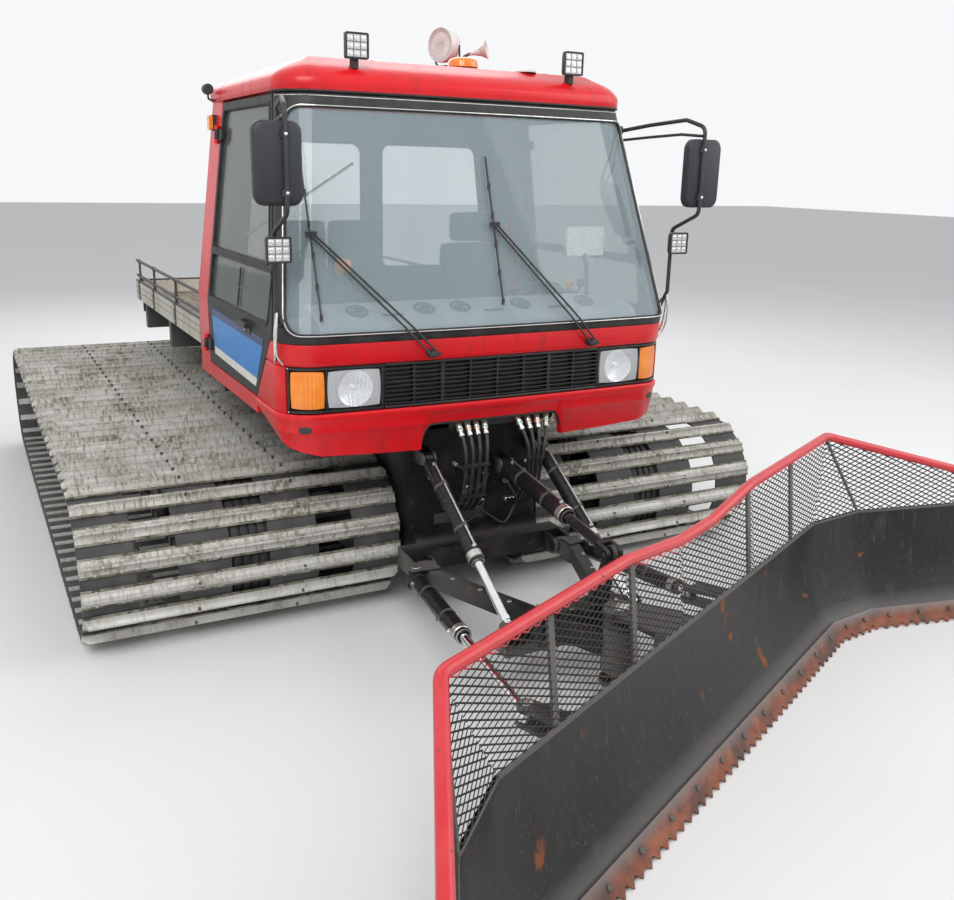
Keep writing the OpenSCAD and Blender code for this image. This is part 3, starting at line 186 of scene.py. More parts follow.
class Shape:
    """Faces gathered in machine millimetres, each with the number of its finish."""

    def __init__(self):
        self.points = []
        self.faces = []
        self.marks = []
        self.turn = Matrix.Identity(4)

    def add(self, points, faces, mark=0):
        base = len(self.points)
        self.points += [self.turn @ Vector(p) for p in points]
        self.faces += [[base + i for i in f] for f in faces]
        self.marks += [mark] * len(faces)

    def box(self, low, high, mark=0):
        (x0, y0, z0), (x1, y1, z1) = low, high
        points = [(x, y, z) for z in (z0, z1) for y in (y0, y1) for x in (x0, x1)]
        self.add(points, BOX_FACES, mark)

    def loft(self, rings, mark=0, closed=True, caps=True, loop=False):
        """A skin over rings of equally many points; loop joins the last ring to the first."""
        n, m = len(rings[0]), len(rings)
        faces = []
        for j in range(m if loop else m - 1):
            a, b = j * n, (j + 1) % m * n
            for i in range(n if closed else n - 1):
                k = (i + 1) % n
                faces.append((a + i, a + k, b + k, b + i))
        if caps and not loop:
            faces.append(tuple(range(n - 1, -1, -1)))
            faces.append(tuple((m - 1) * n + i for i in range(n)))
        self.add([p for r in rings for p in r], faces, mark)

    def tube(self, path, radius, sides=10, mark=0, loop=False):
        """A round bar along a path."""
        pts = [Vector(p) for p in path]
        m = len(pts)
        side = None
        rings = []
        for i, p in enumerate(pts):
            ahead = pts[(i + 1) % m] if loop or i < m - 1 else p
            behind = pts[i - 1] if loop or i else p
            t = (ahead - behind).normalized()
            if side is None:
                side = t.orthogonal().normalized()
            side = (side - t * side.dot(t)).normalized()
            up = t.cross(side)
            rings.append([p + radius * (math.cos(a) * side + math.sin(a) * up)
                          for a in (2 * math.pi * k / sides for k in range(sides))])
        self.loft(rings, mark, loop=loop)

    def lathe(self, profile, centre, axis, segments=32, mark=0, closed=False):
        """Turns (radius, height) points about an axis through centre."""
        c, t = Vector(centre), Vector(axis).normalized()
        u = t.orthogonal().normalized()
        v = t.cross(u)
        rings = []
        for k in range(segments):
            a = 2 * math.pi * k / segments
            d = math.cos(a) * u + math.sin(a) * v
            rings.append([c + d * r + t * h for r, h in profile])
        self.loft(rings, mark, closed=closed, loop=True)

    def disc(self, centre, axis, radius, height, segments=24, mark=0, edge=0.0):
        """A short round bar standing on centre, with its far edge cut by edge."""
        profile = [(0.0, 0.0), (radius, 0.0), (radius, height - edge), (radius - edge, height),
                   (0.0, height)]
        self.lathe(profile, centre, axis, segments, mark)

    def bolt(self, centre, axis, radius=9.0, height=7.0, mark=0):
        """A hexagonal head."""
        self.disc(centre, axis, radius, height, 6, mark, height * 0.25)

    def plate(self, outline, plane, low, high, mark=0):
        """An outline in the plane xy, xz or yz, drawn out from low to high across it."""
        put = PLANES[plane]
        self.loft([[put(p[0], p[1], h) for p in outline] for h in (low, high)], mark)

    def ring_plate(self, outer, inner, plane, low, high, mark=0):
        """A flat frame between two outlines of equally many points."""
        put = PLANES[plane]
        rings = [[put(*o, low), put(*i, low), put(*i, high), put(*o, high)]
                 for o, i in zip(outer, inner)]
        self.loft(rings, mark, loop=True)

    def make(self, name, finishes, slot, body="machine", smooth=35.0, bevel=0.0, replaces=()):
        """A mesh object on a body; finishes are keys of M, in the order of the marks."""
        mesh = bpy.data.meshes.new(name)
        mesh.from_pydata([to_row(p) for p in self.points], [], self.faces)
        for key in finishes.split():
            mesh.materials.append(M[key])
        mesh.polygons.foreach_set("material_index", self.marks)
        bm = bmesh.new()
        bm.from_mesh(mesh)
        bmesh.ops.remove_doubles(bm, verts=bm.verts, dist=1e-6)
        bmesh.ops.dissolve_degenerate(bm, dist=1e-6, edges=bm.edges)
        bmesh.ops.recalc_face_normals(bm, faces=bm.faces)
        bm.to_mesh(mesh)
        bm.free()
        mesh.polygons.foreach_set("use_smooth", [True] * len(mesh.polygons))
        mesh.set_sharp_from_angle(angle=math.radians(smooth))
        obj = bpy.data.objects.new(name, mesh)
        bpy.context.scene.collection.objects.link(obj)
        if bevel:
            edges = obj.modifiers.new("edges", "BEVEL")
            edges.width = bevel * MM
            edges.segments = 2
            edges.limit_method = "ANGLE"
            edges.angle_limit = math.radians(smooth)
        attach(obj, body)
        if replaces:
            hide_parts(*replaces)
        return obj


def span_x(side, a, b):
    """Two distances from the middle as rising x on one side of the machine."""
    return sorted((side * a, side * b))


def both_sides(build):
    """Calls build with -1 for the machine's right side and 1 for its left."""
    for side in (-1, 1):
        build(side)


# Every finish of the machine under its key
M = {}


class Finish:
    """A node material built up in layers over one base."""

    def __init__(self, key, name, colour, rough, metal=0.0, coat=0.0, alpha=1.0, specular=0.5, sheen=0.0):
        self.material = M[key] = bpy.data.materials.new(name)
        self.material.use_nodes = True
        self.tree = self.material.node_tree
        self.shader = self.tree.nodes["Principled BSDF"]
        fixed = {"Base Color": (*colour, 1.0), "Roughness": rough, "Metallic": metal, "Coat Weight": coat,
                 "Coat Roughness": 0.12, "Alpha": alpha,
                 "Specular IOR Level": specular, "Sheen Weight": sheen}
        for name_, value in fixed.items():
            self.shader.inputs[name_].default_value = value
        self.coordinates = None

    def node(self, kind, **values):
        made = self.tree.nodes.new(kind)
        for key, value in values.items():
            setattr(made, key, value)
        return made

    def link(self, a, b):
        self.tree.links.new(a, b)

    def place(self, stretch):
        """Object coordinates, scaled per axis."""
        if self.coordinates is None:
            self.coordinates = self.node("ShaderNodeTexCoord").outputs["Object"]
        mapping = self.node("ShaderNodeMapping")
        mapping.inputs["Scale"].default_value = stretch
        self.link(self.coordinates, mapping.inputs["Vector"])
        return mapping.outputs[0]

    def span(self, value, low, high):
        """value mapped so that low gives 0 and high gives 1."""
        made = self.node("ShaderNodeMapRange")
        self.link(value, made.inputs[0])
        made.inputs[1].default_value = low
        made.inputs[2].default_value = high
        return made.outputs[0]

    def noise(self, scale, low=0.4, high=0.6, stretch=(1, 1, 1), detail=4.0, distortion=0.0):
        made = self.node("ShaderNodeTexNoise")
        made.inputs["Scale"].default_value = scale
        made.inputs["Detail"].default_value = detail
        made.inputs["Distortion"].default_value = distortion
        self.link(self.place(stretch), made.inputs["Vector"])
        return self.span(made.outputs[0], low, high)

    def waves(self, scale, axis):
        """Fine ribs across an axis."""
        made = self.node("ShaderNodeTexWave", bands_direction=axis)
        made.inputs["Scale"].default_value = scale
        made.inputs["Detail"].default_value = 1.0
        self.link(self.place((1, 1, 1)), made.inputs["Vector"])
        return self.span(made.outputs[1], 0.2, 0.8)

    def level(self, axis, low, high):
        """0 at low and 1 at high along an axis, in row-frame metres."""
        split = self.node("ShaderNodeSeparateXYZ")
        self.link(self.place((1, 1, 1)), split.inputs[0])
        return self.span(split.outputs["XYZ".index(axis)], low, high)

    def edges(self, low, high):
        """1 on sharp outer edges."""
        geometry = self.node("ShaderNodeNewGeometry")
        return self.span(geometry.outputs["Pointiness"], low, high)

    def times(self, a, b, operation="MULTIPLY"):
        """Two masks, or a mask and a number, multiplied or joined by another operation."""
        made = self.node("ShaderNodeMath", operation=operation, use_clamp=True)
        for socket, value in zip(made.inputs, (a, b)):
            if isinstance(value, (int, float)):
                socket.default_value = value
            else:
                self.link(value, socket)
        return made.outputs[0]

    def under(self, socket, value, mask, size):
        """Mixes value over what feeds a shader socket, where mask is 1."""
        made = self.node("ShaderNodeMix", data_type="RGBA" if size == 4 else "FLOAT")
        # the node's sockets for the two values and the result, by kind
        first, second, out = (6, 7, 2) if size == 4 else (2, 3, 0)
        target = self.shader.inputs[socket]
        if target.is_linked:
            self.link(target.links[0].from_socket, made.inputs[first])
        else:
            made.inputs[first].default_value = target.default_value
        made.inputs[second].default_value = value
        self.link(mask, made.inputs[0])
        self.link(made.outputs[out], target)

    def paint(self, mask, colour=None, rough=None, metal=None, amount=1.0):
        """Lays colour, roughness and metal over the layers so far, where mask is 1."""
        if amount < 1.0:
            mask = self.times(mask, amount)
        if colour:
            self.under("Base Color", (*colour, 1.0), mask, 4)
        if rough is not None:
            self.under("Roughness", rough, mask, 1)
        if metal is not None:
            self.under("Metallic", metal, mask, 1)

    def bump(self, mask, depth, strength=0.6):
        """Raises the surface by depth millimetres where mask is 1."""
        made = self.node("ShaderNodeBump")
        made.inputs["Strength"].default_value = strength
        made.inputs["Distance"].default_value = depth * MM
        self.link(mask, made.inputs["Height"])
        target = self.shader.inputs["Normal"]
        if target.is_linked:
            self.link(target.links[0].from_socket, made.inputs["Normal"])
        self.link(made.outputs[0], target)

    def grain(self, scale, depth, strength, detail=4.0):
        """A fine even roughness of the surface."""
        self.bump(self.noise(scale, 0.3, 0.7, detail=detail), depth, strength)


def grime(f, amount=0.5, colour=(0.16, 0.13, 0.1), scale=3.0):
    """Dust and dried mud in soft patches, with fine grain in its gloss."""
    patches = f.noise(scale, 0.42, 0.7, detail=6.0, distortion=0.4)
    f.paint(patches, colour, 0.85, amount=amount)
    f.grain(160, 0.3, 0.25, 3.0)


def make_paints():
    """Red paint, rubber and plastic."""
    f = Finish("red", "red_paint", (0.68, 0.007, 0.012), 0.34, coat=0.22, specular=0.35)
    f.paint(f.noise(2.2, 0.4, 0.7), (0.56, 0.007, 0.012), amount=0.6)
    f.paint(f.noise(5, 0.56, 0.72, (3.0, 3.0, 0.35), 6.0), (0.34, 0.016, 0.016), 0.5, amount=0.5)
    f.paint(f.noise(90, 0.68, 0.74, detail=2.0), (0.25, 0.02, 0.02), 0.6, amount=0.5)
    f.bump(f.noise(240, 0.2, 0.8, detail=1.0), 0.12, 0.2)

    f = Finish("rail_red", "faded_red", (0.56, 0.012, 0.02), 0.38, coat=0.25)
    f.paint(f.noise(7, 0.5, 0.75, detail=6.0), (0.62, 0.05, 0.06), 0.5, amount=0.6)
    f.paint(f.noise(40, 0.66, 0.73, detail=4.0), (0.20, 0.05, 0.03), 0.8)
    f.grain(90, 0.3, 0.3)

    f = Finish("rubber", "black_rubber", (0.012, 0.012, 0.013), 0.5)
    f.paint(f.noise(14, 0.45, 0.75, detail=6.0), (0.045, 0.043, 0.04), 0.75, amount=0.7)
    f.grain(220, 0.2, 0.3)

    f = Finish("plastic", "black_plastic", (0.022, 0.022, 0.024), 0.45)
    f.paint(f.noise(9, 0.5, 0.8, detail=6.0), (0.06, 0.058, 0.055), 0.65, amount=0.6)
    f.grain(420, 0.15, 0.4, 1.0)

    f = Finish("housing", "mirror_housing", (0.022, 0.024, 0.029), 0.5, specular=0.35)
    # painted highlight: the housing is drawn lighter and bluer towards its top, where the sky lights it
    f.paint(f.level("Z", 2.22, 2.6), (0.05, 0.053, 0.062), amount=0.6)
    f.grain(520, 0.15, 0.5, 1.0)


def make_metals():
    """Black and bright metals, and the tracks' bars."""
    f = Finish("steel", "black_steel", (0.009, 0.009, 0.0095), 0.46, specular=0.28)
    f.paint(f.noise(6, 0.5, 0.74, detail=8.0), (0.045, 0.040, 0.034), 0.8, amount=0.6)
    f.paint(f.noise(16, 0.65, 0.71, detail=8.0), (0.12, 0.045, 0.02), 0.9, amount=0.6)
    f.paint(f.edges(0.53, 0.6), (0.2, 0.19, 0.18), 0.5, amount=0.5)
    f.grain(120, 0.4, 0.3)

    f = Finish("barrel", "barrel_black", (0.010, 0.010, 0.011), 0.32, coat=0.1, specular=0.35)
    f.paint(f.noise(11, 0.5, 0.75, detail=8.0), (0.04, 0.037, 0.033), 0.7, amount=0.6)
    f.paint(f.noise(60, 0.66, 0.72), (0.2, 0.19, 0.18), 0.5, amount=0.5)

    f = Finish("chrome", "chrome_rod", (0.86, 0.87, 0.89), 0.1, metal=1.0)
    f.paint(f.noise(30, 0.5, 0.8, detail=6.0), (0.66, 0.66, 0.67), 0.25, amount=0.6)

    f = Finish("trim", "bright_trim", (0.80, 0.80, 0.77), 0.22, metal=0.9)
    f.paint(f.noise(24, 0.45, 0.7), (0.46, 0.45, 0.42), 0.5, amount=0.6)

    f = Finish("bar", "bar_aluminium", (0.52, 0.505, 0.47), 0.55, metal=0.25)
    f.paint(f.noise(2.6, 0.42, 0.66, (1, 1, 1), 5.0), (0.36, 0.345, 0.30), 0.75, amount=0.7)
    f.paint(f.noise(22, 0.5, 0.68, (2.6, 0.6, 0.6), 8.0, 0.6), (0.21, 0.20, 0.155), 0.85, amount=0.85)
    moss = f.times(f.noise(3.4, 0.47, 0.66, detail=6.0), f.noise(34, 0.42, 0.6, (1.6, 1, 1), 8.0))
    f.paint(moss, (0.12, 0.125, 0.065), 0.95, 0.0, amount=0.9)
    f.paint(f.noise(70, 0.6, 0.7, (3.5, 0.7, 0.7), 6.0), (0.055, 0.05, 0.04), 0.95, 0.0, amount=0.8)
    f.paint(f.noise(1.4, 0.55, 0.75), (0.62, 0.62, 0.60), 0.4, 0.4, amount=0.5)
    clean = f.times(f.level("Z", 0.6, 0.2), f.noise(5, 0.3, 0.6, (1.5, 1, 1), 6.0))
    f.paint(clean, (0.62, 0.61, 0.58), 0.42, 0.4, amount=0.75)
    f.bump(f.noise(60, 0.3, 0.7, (2, 1, 1), 6.0), 0.8, 0.5)

    # darker brown for the low faces between the bars: partly dirt that gathers there, partly painted shade
    # cast by the next bar
    f = Finish("seam", "bar_valley_dirt_and_shade", (0.15, 0.135, 0.10), 0.85)
    f.paint(f.noise(9, 0.45, 0.62, detail=8.0), (0.30, 0.285, 0.24), 0.8, amount=0.8)
    f.paint(f.noise(26, 0.5, 0.64, detail=6.0), (0.05, 0.048, 0.035), 0.95, amount=0.9)


def make_running_finishes():
    """Belts, tyres, gear and engine."""
    f = Finish("belt", "belt_rubber", (0.036, 0.036, 0.038), 0.6)
    f.paint(f.noise(7, 0.45, 0.7, detail=7.0), (0.10, 0.095, 0.085), 0.85, amount=0.7)
    f.bump(f.times(f.waves(70, "X"), f.noise(300, 0.3, 0.7)), 0.5, 0.5)

    f = Finish("tyre", "tyre_rubber", (0.015, 0.015, 0.016), 0.62)
    f.paint(f.noise(9, 0.45, 0.72, detail=7.0), (0.08, 0.072, 0.06), 0.9, amount=0.6)
    f.grain(150, 0.5, 0.4)

    f = Finish("gear", "gear_grey", (0.085, 0.087, 0.09), 0.5, metal=0.2)
    grime(f, 0.75, (0.13, 0.11, 0.085), 5.0)
    f.paint(f.noise(26, 0.62, 0.7, detail=8.0), (0.2, 0.075, 0.03), 0.9, amount=0.7)

    f = Finish("engine", "engine_grey", (0.12, 0.125, 0.13), 0.55, metal=0.3)
    grime(f, 0.7, (0.05, 0.045, 0.04), 4.0)


def make_lamps_and_glass():
    """Windows, lenses and lamps."""
    f = Finish("glass", "glass_tint", (0.48, 0.60, 0.64), 0.04, alpha=0.24, specular=0.8)
    f.paint(f.noise(1.6, 0.4, 0.75, (1, 1, 0.6)), (0.58, 0.69, 0.73), 0.08, amount=0.5)

    f = Finish("side_glass", "side_glass", (0.16, 0.19, 0.17), 0.04, alpha=0.5, specular=0.8)
    f.paint(f.noise(2.4, 0.4, 0.7), (0.10, 0.12, 0.10), 0.08, amount=0.7)

    f = Finish("lens", "lamp_clear", (0.86, 0.88, 0.90), 0.05, alpha=0.34, specular=0.8)
    f.bump(f.waves(34, "X"), 0.8, 0.5)

    f = Finish("reflector", "reflector", (0.86, 0.87, 0.88), 0.12, metal=1.0)
    f.bump(f.waves(16, "X"), 1.5, 0.5)

    f = Finish("orange", "lamp_orange", (0.86, 0.22, 0.012), 0.16, coat=0.6)
    f.paint(f.noise(12, 0.4, 0.7), (0.95, 0.34, 0.02), amount=0.6)
    f.bump(f.waves(48, "Z"), 0.6, 0.4)

    f = Finish("lamp_red", "lamp_red", (0.55, 0.01, 0.01), 0.16, coat=0.5)
    f.bump(f.waves(48, "X"), 0.6, 0.4)

    f = Finish("led", "led_cell", (0.62, 0.585, 0.60), 0.28, metal=0.35)
    f.paint(f.noise(60, 0.45, 0.6), (0.42, 0.43, 0.42), 0.3, amount=0.6)


def make_fittings():
    """Grille, hoses and couplers."""
    f = Finish("grille", "grille_black", (0.010, 0.010, 0.011), 0.35, coat=0.15)
    f.paint(f.noise(12, 0.5, 0.78, detail=6.0), (0.04, 0.038, 0.036), 0.6, amount=0.6)

    f = Finish("hose", "hose_rubber", (0.014, 0.014, 0.015), 0.42)
    f.grain(400, 0.25, 0.4, 1.0)
    f.paint(f.noise(20, 0.5, 0.8), (0.06, 0.055, 0.05), 0.7, amount=0.6)

    f = Finish("coupler", "coupler_silver", (0.60, 0.59, 0.56), 0.3, metal=0.9)
    f.paint(f.noise(60, 0.5, 0.7), (0.28, 0.22, 0.16), 0.6, amount=0.7)

    f = Finish("copper", "coupler_copper", (0.56, 0.20, 0.10), 0.4, metal=0.7)
    f.paint(f.noise(60, 0.5, 0.7), (0.3, 0.08, 0.05), 0.6, amount=0.7)

    f = Finish("green", "coupler_green", (0.16, 0.42, 0.24), 0.45)
    f.paint(f.noise(60, 0.5, 0.7), (0.08, 0.2, 0.12), 0.7, amount=0.7)


def make_blade_finishes():
    """The blade, its edge and its mesh."""
    f = Finish("blade", "blade_black", (0.0065, 0.006, 0.006), 0.36, specular=0.3)
    f.paint(f.noise(1.9, 0.46, 0.7, detail=7.0), (0.022, 0.020, 0.017), 0.5, amount=0.8)
    f.paint(f.noise(7, 0.58, 0.78, (2.4, 2.4, 0.35), 8.0, 0.5), (0.06, 0.052, 0.042), 0.6, amount=0.5)
    f.paint(f.noise(30, 0.62, 0.7, (3.2, 3.2, 0.2), 6.0), (0.12, 0.11, 0.10), 0.5, amount=0.4)
    f.paint(f.noise(4.2, 0.66, 0.70, detail=9.0, distortion=0.6), (0.22, 0.07, 0.025), 0.9, amount=0.9)
    f.paint(f.level("Z", 0.17, 0.1), (0.13, 0.125, 0.12), 0.45, 0.4, amount=0.6)
    f.grain(18, 1.5, 0.4, 6.0)

    f = Finish("rust", "rusty_steel", (0.20, 0.062, 0.035), 0.72, metal=0.1)
    f.paint(f.noise(14, 0.42, 0.62, detail=9.0), (0.30, 0.11, 0.06), 0.85, amount=0.9)
    f.paint(f.noise(6, 0.48, 0.62, detail=8.0), (0.075, 0.04, 0.032), 0.7, amount=0.9)
    f.paint(f.level("Z", 0.055, 0.10), (0.15, 0.145, 0.14), 0.4, 0.7, amount=0.9)
    f.grain(60, 1.5, 0.6, 8.0)

    f = Finish("worn", "worn_edge", (0.30, 0.28, 0.22), 0.45, metal=0.5)
    f.paint(f.noise(26, 0.45, 0.62, detail=8.0), (0.14, 0.10, 0.07), 0.8, amount=0.9)

    f = Finish("mesh", "mesh_black", (0.009, 0.0085, 0.0085), 0.5, specular=0.3)
    f.paint(f.noise(40, 0.55, 0.66, detail=6.0), (0.10, 0.05, 0.03), 0.85, amount=0.7)
    f.grain(200, 0.3, 0.4)


def make_deck_finishes():
    """The platform's boards."""
    f = Finish("cream", "platform_cream", (0.58, 0.555, 0.47), 0.55)
    f.paint(f.noise(3, 0.42, 0.68, detail=7.0), (0.42, 0.40, 0.33), 0.7, amount=0.8)
    f.paint(f.noise(9, 0.55, 0.72, (2.6, 2.6, 0.4), 8.0), (0.24, 0.23, 0.17), 0.85, amount=0.8)
    f.grain(90, 0.5, 0.3)

    f = Finish("board", "deck_board", (0.20, 0.155, 0.105), 0.75)
    f.paint(f.noise(8, 0.4, 0.65, (8.0, 0.5, 1.0), 8.0, 0.5), (0.10, 0.08, 0.055), 0.85, amount=0.9)
    f.paint(f.noise(3, 0.5, 0.7, detail=6.0), (0.26, 0.25, 0.2), 0.9, amount=0.5)
    f.bump(f.noise(30, 0.3, 0.7, (8.0, 0.5, 1.0), 6.0), 1.0, 0.5)


def make_inside():
    """Dash, lining, seats and floor."""
    f = Finish("dash", "dash_grey", (0.30, 0.33, 0.35), 0.6)
    f.grain(380, 0.4, 0.5, 2.0)
    f.paint(f.noise(4, 0.45, 0.7), (0.17, 0.185, 0.2), 0.75, amount=0.7)

    f = Finish("lining", "lining_grey", (0.20, 0.225, 0.24), 0.7)
    f.grain(300, 0.4, 0.4, 2.0)
    f.paint(f.noise(3, 0.45, 0.7), (0.26, 0.285, 0.3), 0.8, amount=0.7)

    f = Finish("fabric", "seat_fabric", (0.085, 0.10, 0.12), 0.9, sheen=0.35)
    weave = f.times(f.waves(420, "X"), f.waves(420, "Z"), "ADD")
    f.bump(weave, 0.5, 0.6)
    f.paint(f.noise(200, 0.45, 0.6, detail=2.0), (0.14, 0.155, 0.18), amount=0.6)
    f.paint(f.noise(5, 0.5, 0.75), (0.06, 0.07, 0.085), amount=0.6)

    f = Finish("floor", "floor_black", (0.02, 0.02, 0.021), 0.65)
    grime(f, 0.8, (0.10, 0.085, 0.07), 4.0)


def make_trim_finishes():
    """Stripes, mirror glass and monitor."""
    f = Finish("blue", "stripe_blue", (0.012, 0.20, 0.56), 0.34, specular=0.35)
    f.paint(f.noise(5, 0.45, 0.7), (0.05, 0.24, 0.60), amount=0.7)

    f = Finish("navy", "stripe_navy", (0.012, 0.035, 0.14), 0.34, specular=0.35)
    f.paint(f.noise(7, 0.45, 0.7), (0.03, 0.08, 0.24), amount=0.6)

    f = Finish("white", "stripe_white", (0.74, 0.74, 0.70), 0.35, coat=0.2)
    f.paint(f.noise(9, 0.48, 0.72, detail=7.0), (0.50, 0.48, 0.40), 0.6, amount=0.6)

    f = Finish("mirror", "mirror_glass", (0.75, 0.78, 0.80), 0.03, metal=1.0)
    f.paint(f.noise(8, 0.5, 0.8), (0.62, 0.65, 0.67), 0.1, amount=0.5)

    f = Finish("screen", "screen_dark", (0.24, 0.35, 0.40), 0.2, coat=0.5)
    f.paint(f.noise(4, 0.4, 0.7), (0.32, 0.45, 0.50), amount=0.6)


for make in (make_paints, make_metals, make_running_finishes, make_lamps_and_glass, make_fittings,
             make_blade_finishes, make_deck_finishes, make_inside, make_trim_finishes):
    make()


# Tracks

def outward(a):
    """The way out of the loop at an angle round it, in the yz plane."""
    return Vector((-math.sin(a), -math.cos(a)))


def forward(a):
    """The way along the loop at an angle round it."""
    return Vector((-math.cos(a), math.sin(a)))


TOP_A = (math.pi - math.atan2(REAR_C.y - FRONT_C.y, REAR_C.x - FRONT_C.x)
         - math.asin((REAR_R - FRONT_R) / (REAR_C - FRONT_C).length))
GROUND_P = Vector((GROUND_END, BAR_H))
RISE_A = (math.atan2(REAR_C.y - BAR_H, REAR_C.x - GROUND_END)
          - math.asin(REAR_R / (REAR_C - GROUND_P).length))
LOW_A = 2 * math.pi - RISE_A


def round_wheel(centre, radius, start):
    """A stretch round a wheel from an angle on: distance to (point, angle)."""
    def at(s):
        a = start + s / radius
        return centre + radius * outward(a), a
    return at


def straight(start, way, angle):
    """A straight stretch: distance to (point, angle)."""
    return lambda s: (start + way * s, angle)


def track_runs():
    """The loop's stretches: length, and a function from a distance to (point, angle)."""
    top_0, top_1 = FRONT_C + FRONT_R * outward(TOP_A), REAR_C + REAR_R * outward(TOP_A)
    low_1 = REAR_C + REAR_R * outward(LOW_A)
    top, rise = top_1 - top_0, GROUND_P - low_1
    return [
        (FRONT_R * TOP_A, round_wheel(FRONT_C, FRONT_R, 0)),
        (top.length, straight(top_0, top.normalized(), TOP_A)),
        (REAR_R * (LOW_A - TOP_A), round_wheel(REAR_C, REAR_R, TOP_A)),
        (rise.length, straight(low_1, rise.normalized(), LOW_A)),
        (GROUND_END - FRONT_C.x, straight(GROUND_P, Vector((-1, 0)), 2 * math.pi)),
    ]


TRACK_RUNS = track_runs()
TRACK_LENGTH = sum(r[0] for r in TRACK_RUNS)


def track_at(s):
    """The point and the angle at a distance round the loop."""
    for length, at in TRACK_RUNS:
        if s <= length:
            return at(s)
        s -= length
    return TRACK_RUNS[-1][1](TRACK_RUNS[-1][0])


def belt_samples():
    """Distances round the loop at which a belt has a ring of points."""
    out, start = [], 0.0
    for length, _ in TRACK_RUNS:
        n = math.ceil(length / BELT_STEP)
        out += [start + length * k / n for k in range(n)]
        start += length
    return out


# Half of a crossbar's section: (along the belt, height)
BAR_PROFILE = [(50, 0), (50, 7), (38, 9), (25, 12), (15, 19), (9, 29), (6.5, 38), (6, 43), (3, 45)]
FLANGE_H = 7.0
# How the bar's back runs down at its ends: (distance from the end, share of its height)
BAR_ENDS = [(0, 0.42), (10, 0.62), (26, 1.0)]
# Faces of the section that lie low beside the next bar; they take the darker seam finish, partly dirt and
# partly painted shade between the bars
SEAM_SIDES_DIRT_AND_SHADE = (0, 1, 15, 16, 17)
BOLT_X = 70
BOLT_Y = 36
PLATE_INSET = 14
SPLICE_AT = (0.335, 0.665)
HORN_GAP = 16


def across_track(shape, place, x0, x1, section, mark=0):
    """A straight piece between two x; its section is given along the belt and out of it."""
    p, t, n = place
    flat = [p + t * u + n * h for u, h in section]
    shape.loft([[(x, q.x, q.y) for q in flat] for x in (x0, x1)], mark)


def add_bar(shape, x0, s):
    """A crossbar with its bolts, the plates inside the belts and two splices."""
    p, a = track_at(s)
    t, n = forward(a), outward(a)
    outline = [(u, h) for u, h in BAR_PROFILE] + [(-u, h) for u, h in reversed(BAR_PROFILE)]
    stops = BAR_ENDS + [(TRACK_W - d, k) for d, k in reversed(BAR_ENDS)]
    rings = []
    for d, k in stops:
        flat = [p + t * u + n * (h if h <= FLANGE_H else FLANGE_H + (h - FLANGE_H) * k)
                for u, h in outline]
        rings.append([(x0 + d, q.x, q.y) for q in flat])
    first = len(shape.marks)
    shape.loft(rings)
    # the low faces beside the next bar take the seam finish: dirt and painted shade
    for j in range(len(rings) - 1):
        for i in SEAM_SIDES_DIRT_AND_SHADE:
            shape.marks[first + j * len(outline) + i] = 3
    out3 = Vector((0, n.x, n.y))
    low, deep = -BELT_T, -BELT_T - 7
    for b in range(BELT_COUNT):
        belt = x0 + b * (BELT_W + BELT_GAP)
        for dx in (BOLT_X, BELT_W - BOLT_X):
            for u in (-BOLT_Y, BOLT_Y):
                q = p + t * u + n * 8.5
                shape.bolt((belt + dx, q.x, q.y), out3, 8.5, 5.0)
        across_track(shape, (p, t, n), belt + PLATE_INSET, belt + BELT_W - PLATE_INSET,
                     ((-24, low), (24, low), (24, deep), (-24, deep)))
    for k in SPLICE_AT:
        x = x0 + TRACK_W * k
        across_track(shape, (p, t, n), x - 7, x + 7, ((-11, 24), (11, 24), (11, 44.5), (-11, 44.5)), 2)


def add_horns(shape, side, s):
    """Guide horns on both sides of the tyres, on the inner face of the belts."""
    p, a = track_at(s)
    t, n = forward(a), outward(a)
    fin = ((-38, -BELT_T), (38, -BELT_T), (16, -100), (-16, -100))
    for x in (TRACK_MID - TYRE_W / 2 - HORN_GAP, TRACK_MID + TYRE_W / 2 + HORN_GAP):
        across_track(shape, (p, t, n), side * (x - 4), side * (x + 4), fin, 1)


def build_track(side):
    """The four belts of one track, and its crossbars with their guide horns."""
    name = "track_left" if side > 0 else "track_right"
    x0 = TRACK_IN if side > 0 else -TRACK_HALF
    belts = Shape()
    cut = [(0, 3), (3, 0), (BELT_W - 3, 0), (BELT_W, 3), (BELT_W, BELT_T - 2), (BELT_W - 3, BELT_T),
           (3, BELT_T), (0, BELT_T - 2)]
    for b in range(BELT_COUNT):
        left = x0 + b * (BELT_W + BELT_GAP)
        rings = []
        for s in belt_samples():
            p, a = track_at(s)
            n = outward(a)
            rings.append([(left + dx, p.x - n.x * d, p.y - n.y * d) for dx, d in cut])
        belts.loft(rings, loop=True)
    belts.make(name + "_belts", "belt", "tyre_rubber")
    bars = Shape()
    for i in range(BAR_COUNT):
        s = (i + 0.5) * TRACK_LENGTH / BAR_COUNT
        add_bar(bars, x0, s)
        add_horns(bars, side, s)
    bars.make(name + "_bars", "bar gear rust seam", "bar_aluminium", replaces=[name])


# Wheels and running gear

# (radius, half width) from the bead to the middle of the tread
TYRE_HALF = [(RIM_R - 2, 118), (RIM_R + 10, 132), (RIM_R + 34, 140), (270, 149), (300, 150), (322, 147),
             (336, 140), (345, 128), (351, 116), (351, 100), (342, 97), (342, 89), (354, 86), (356, 52),
             (345, 49), (345, 40), (357, 37), (357, 8), (346, 5)]


def build_tyres():
    s = Shape()
    profile = TYRE_HALF + [(r, -h) for r, h in reversed(TYRE_HALF)]
    for side in (-1, 1):
        for y, z in zip(WHEEL_Y, WHEEL_Z):
            s.lathe(profile, (side * TRACK_MID, y, z), LEFT, 56, closed=True)
    s.make("tyres", "tyre", "tyre_rubber", smooth=28, replaces=["wheels"])


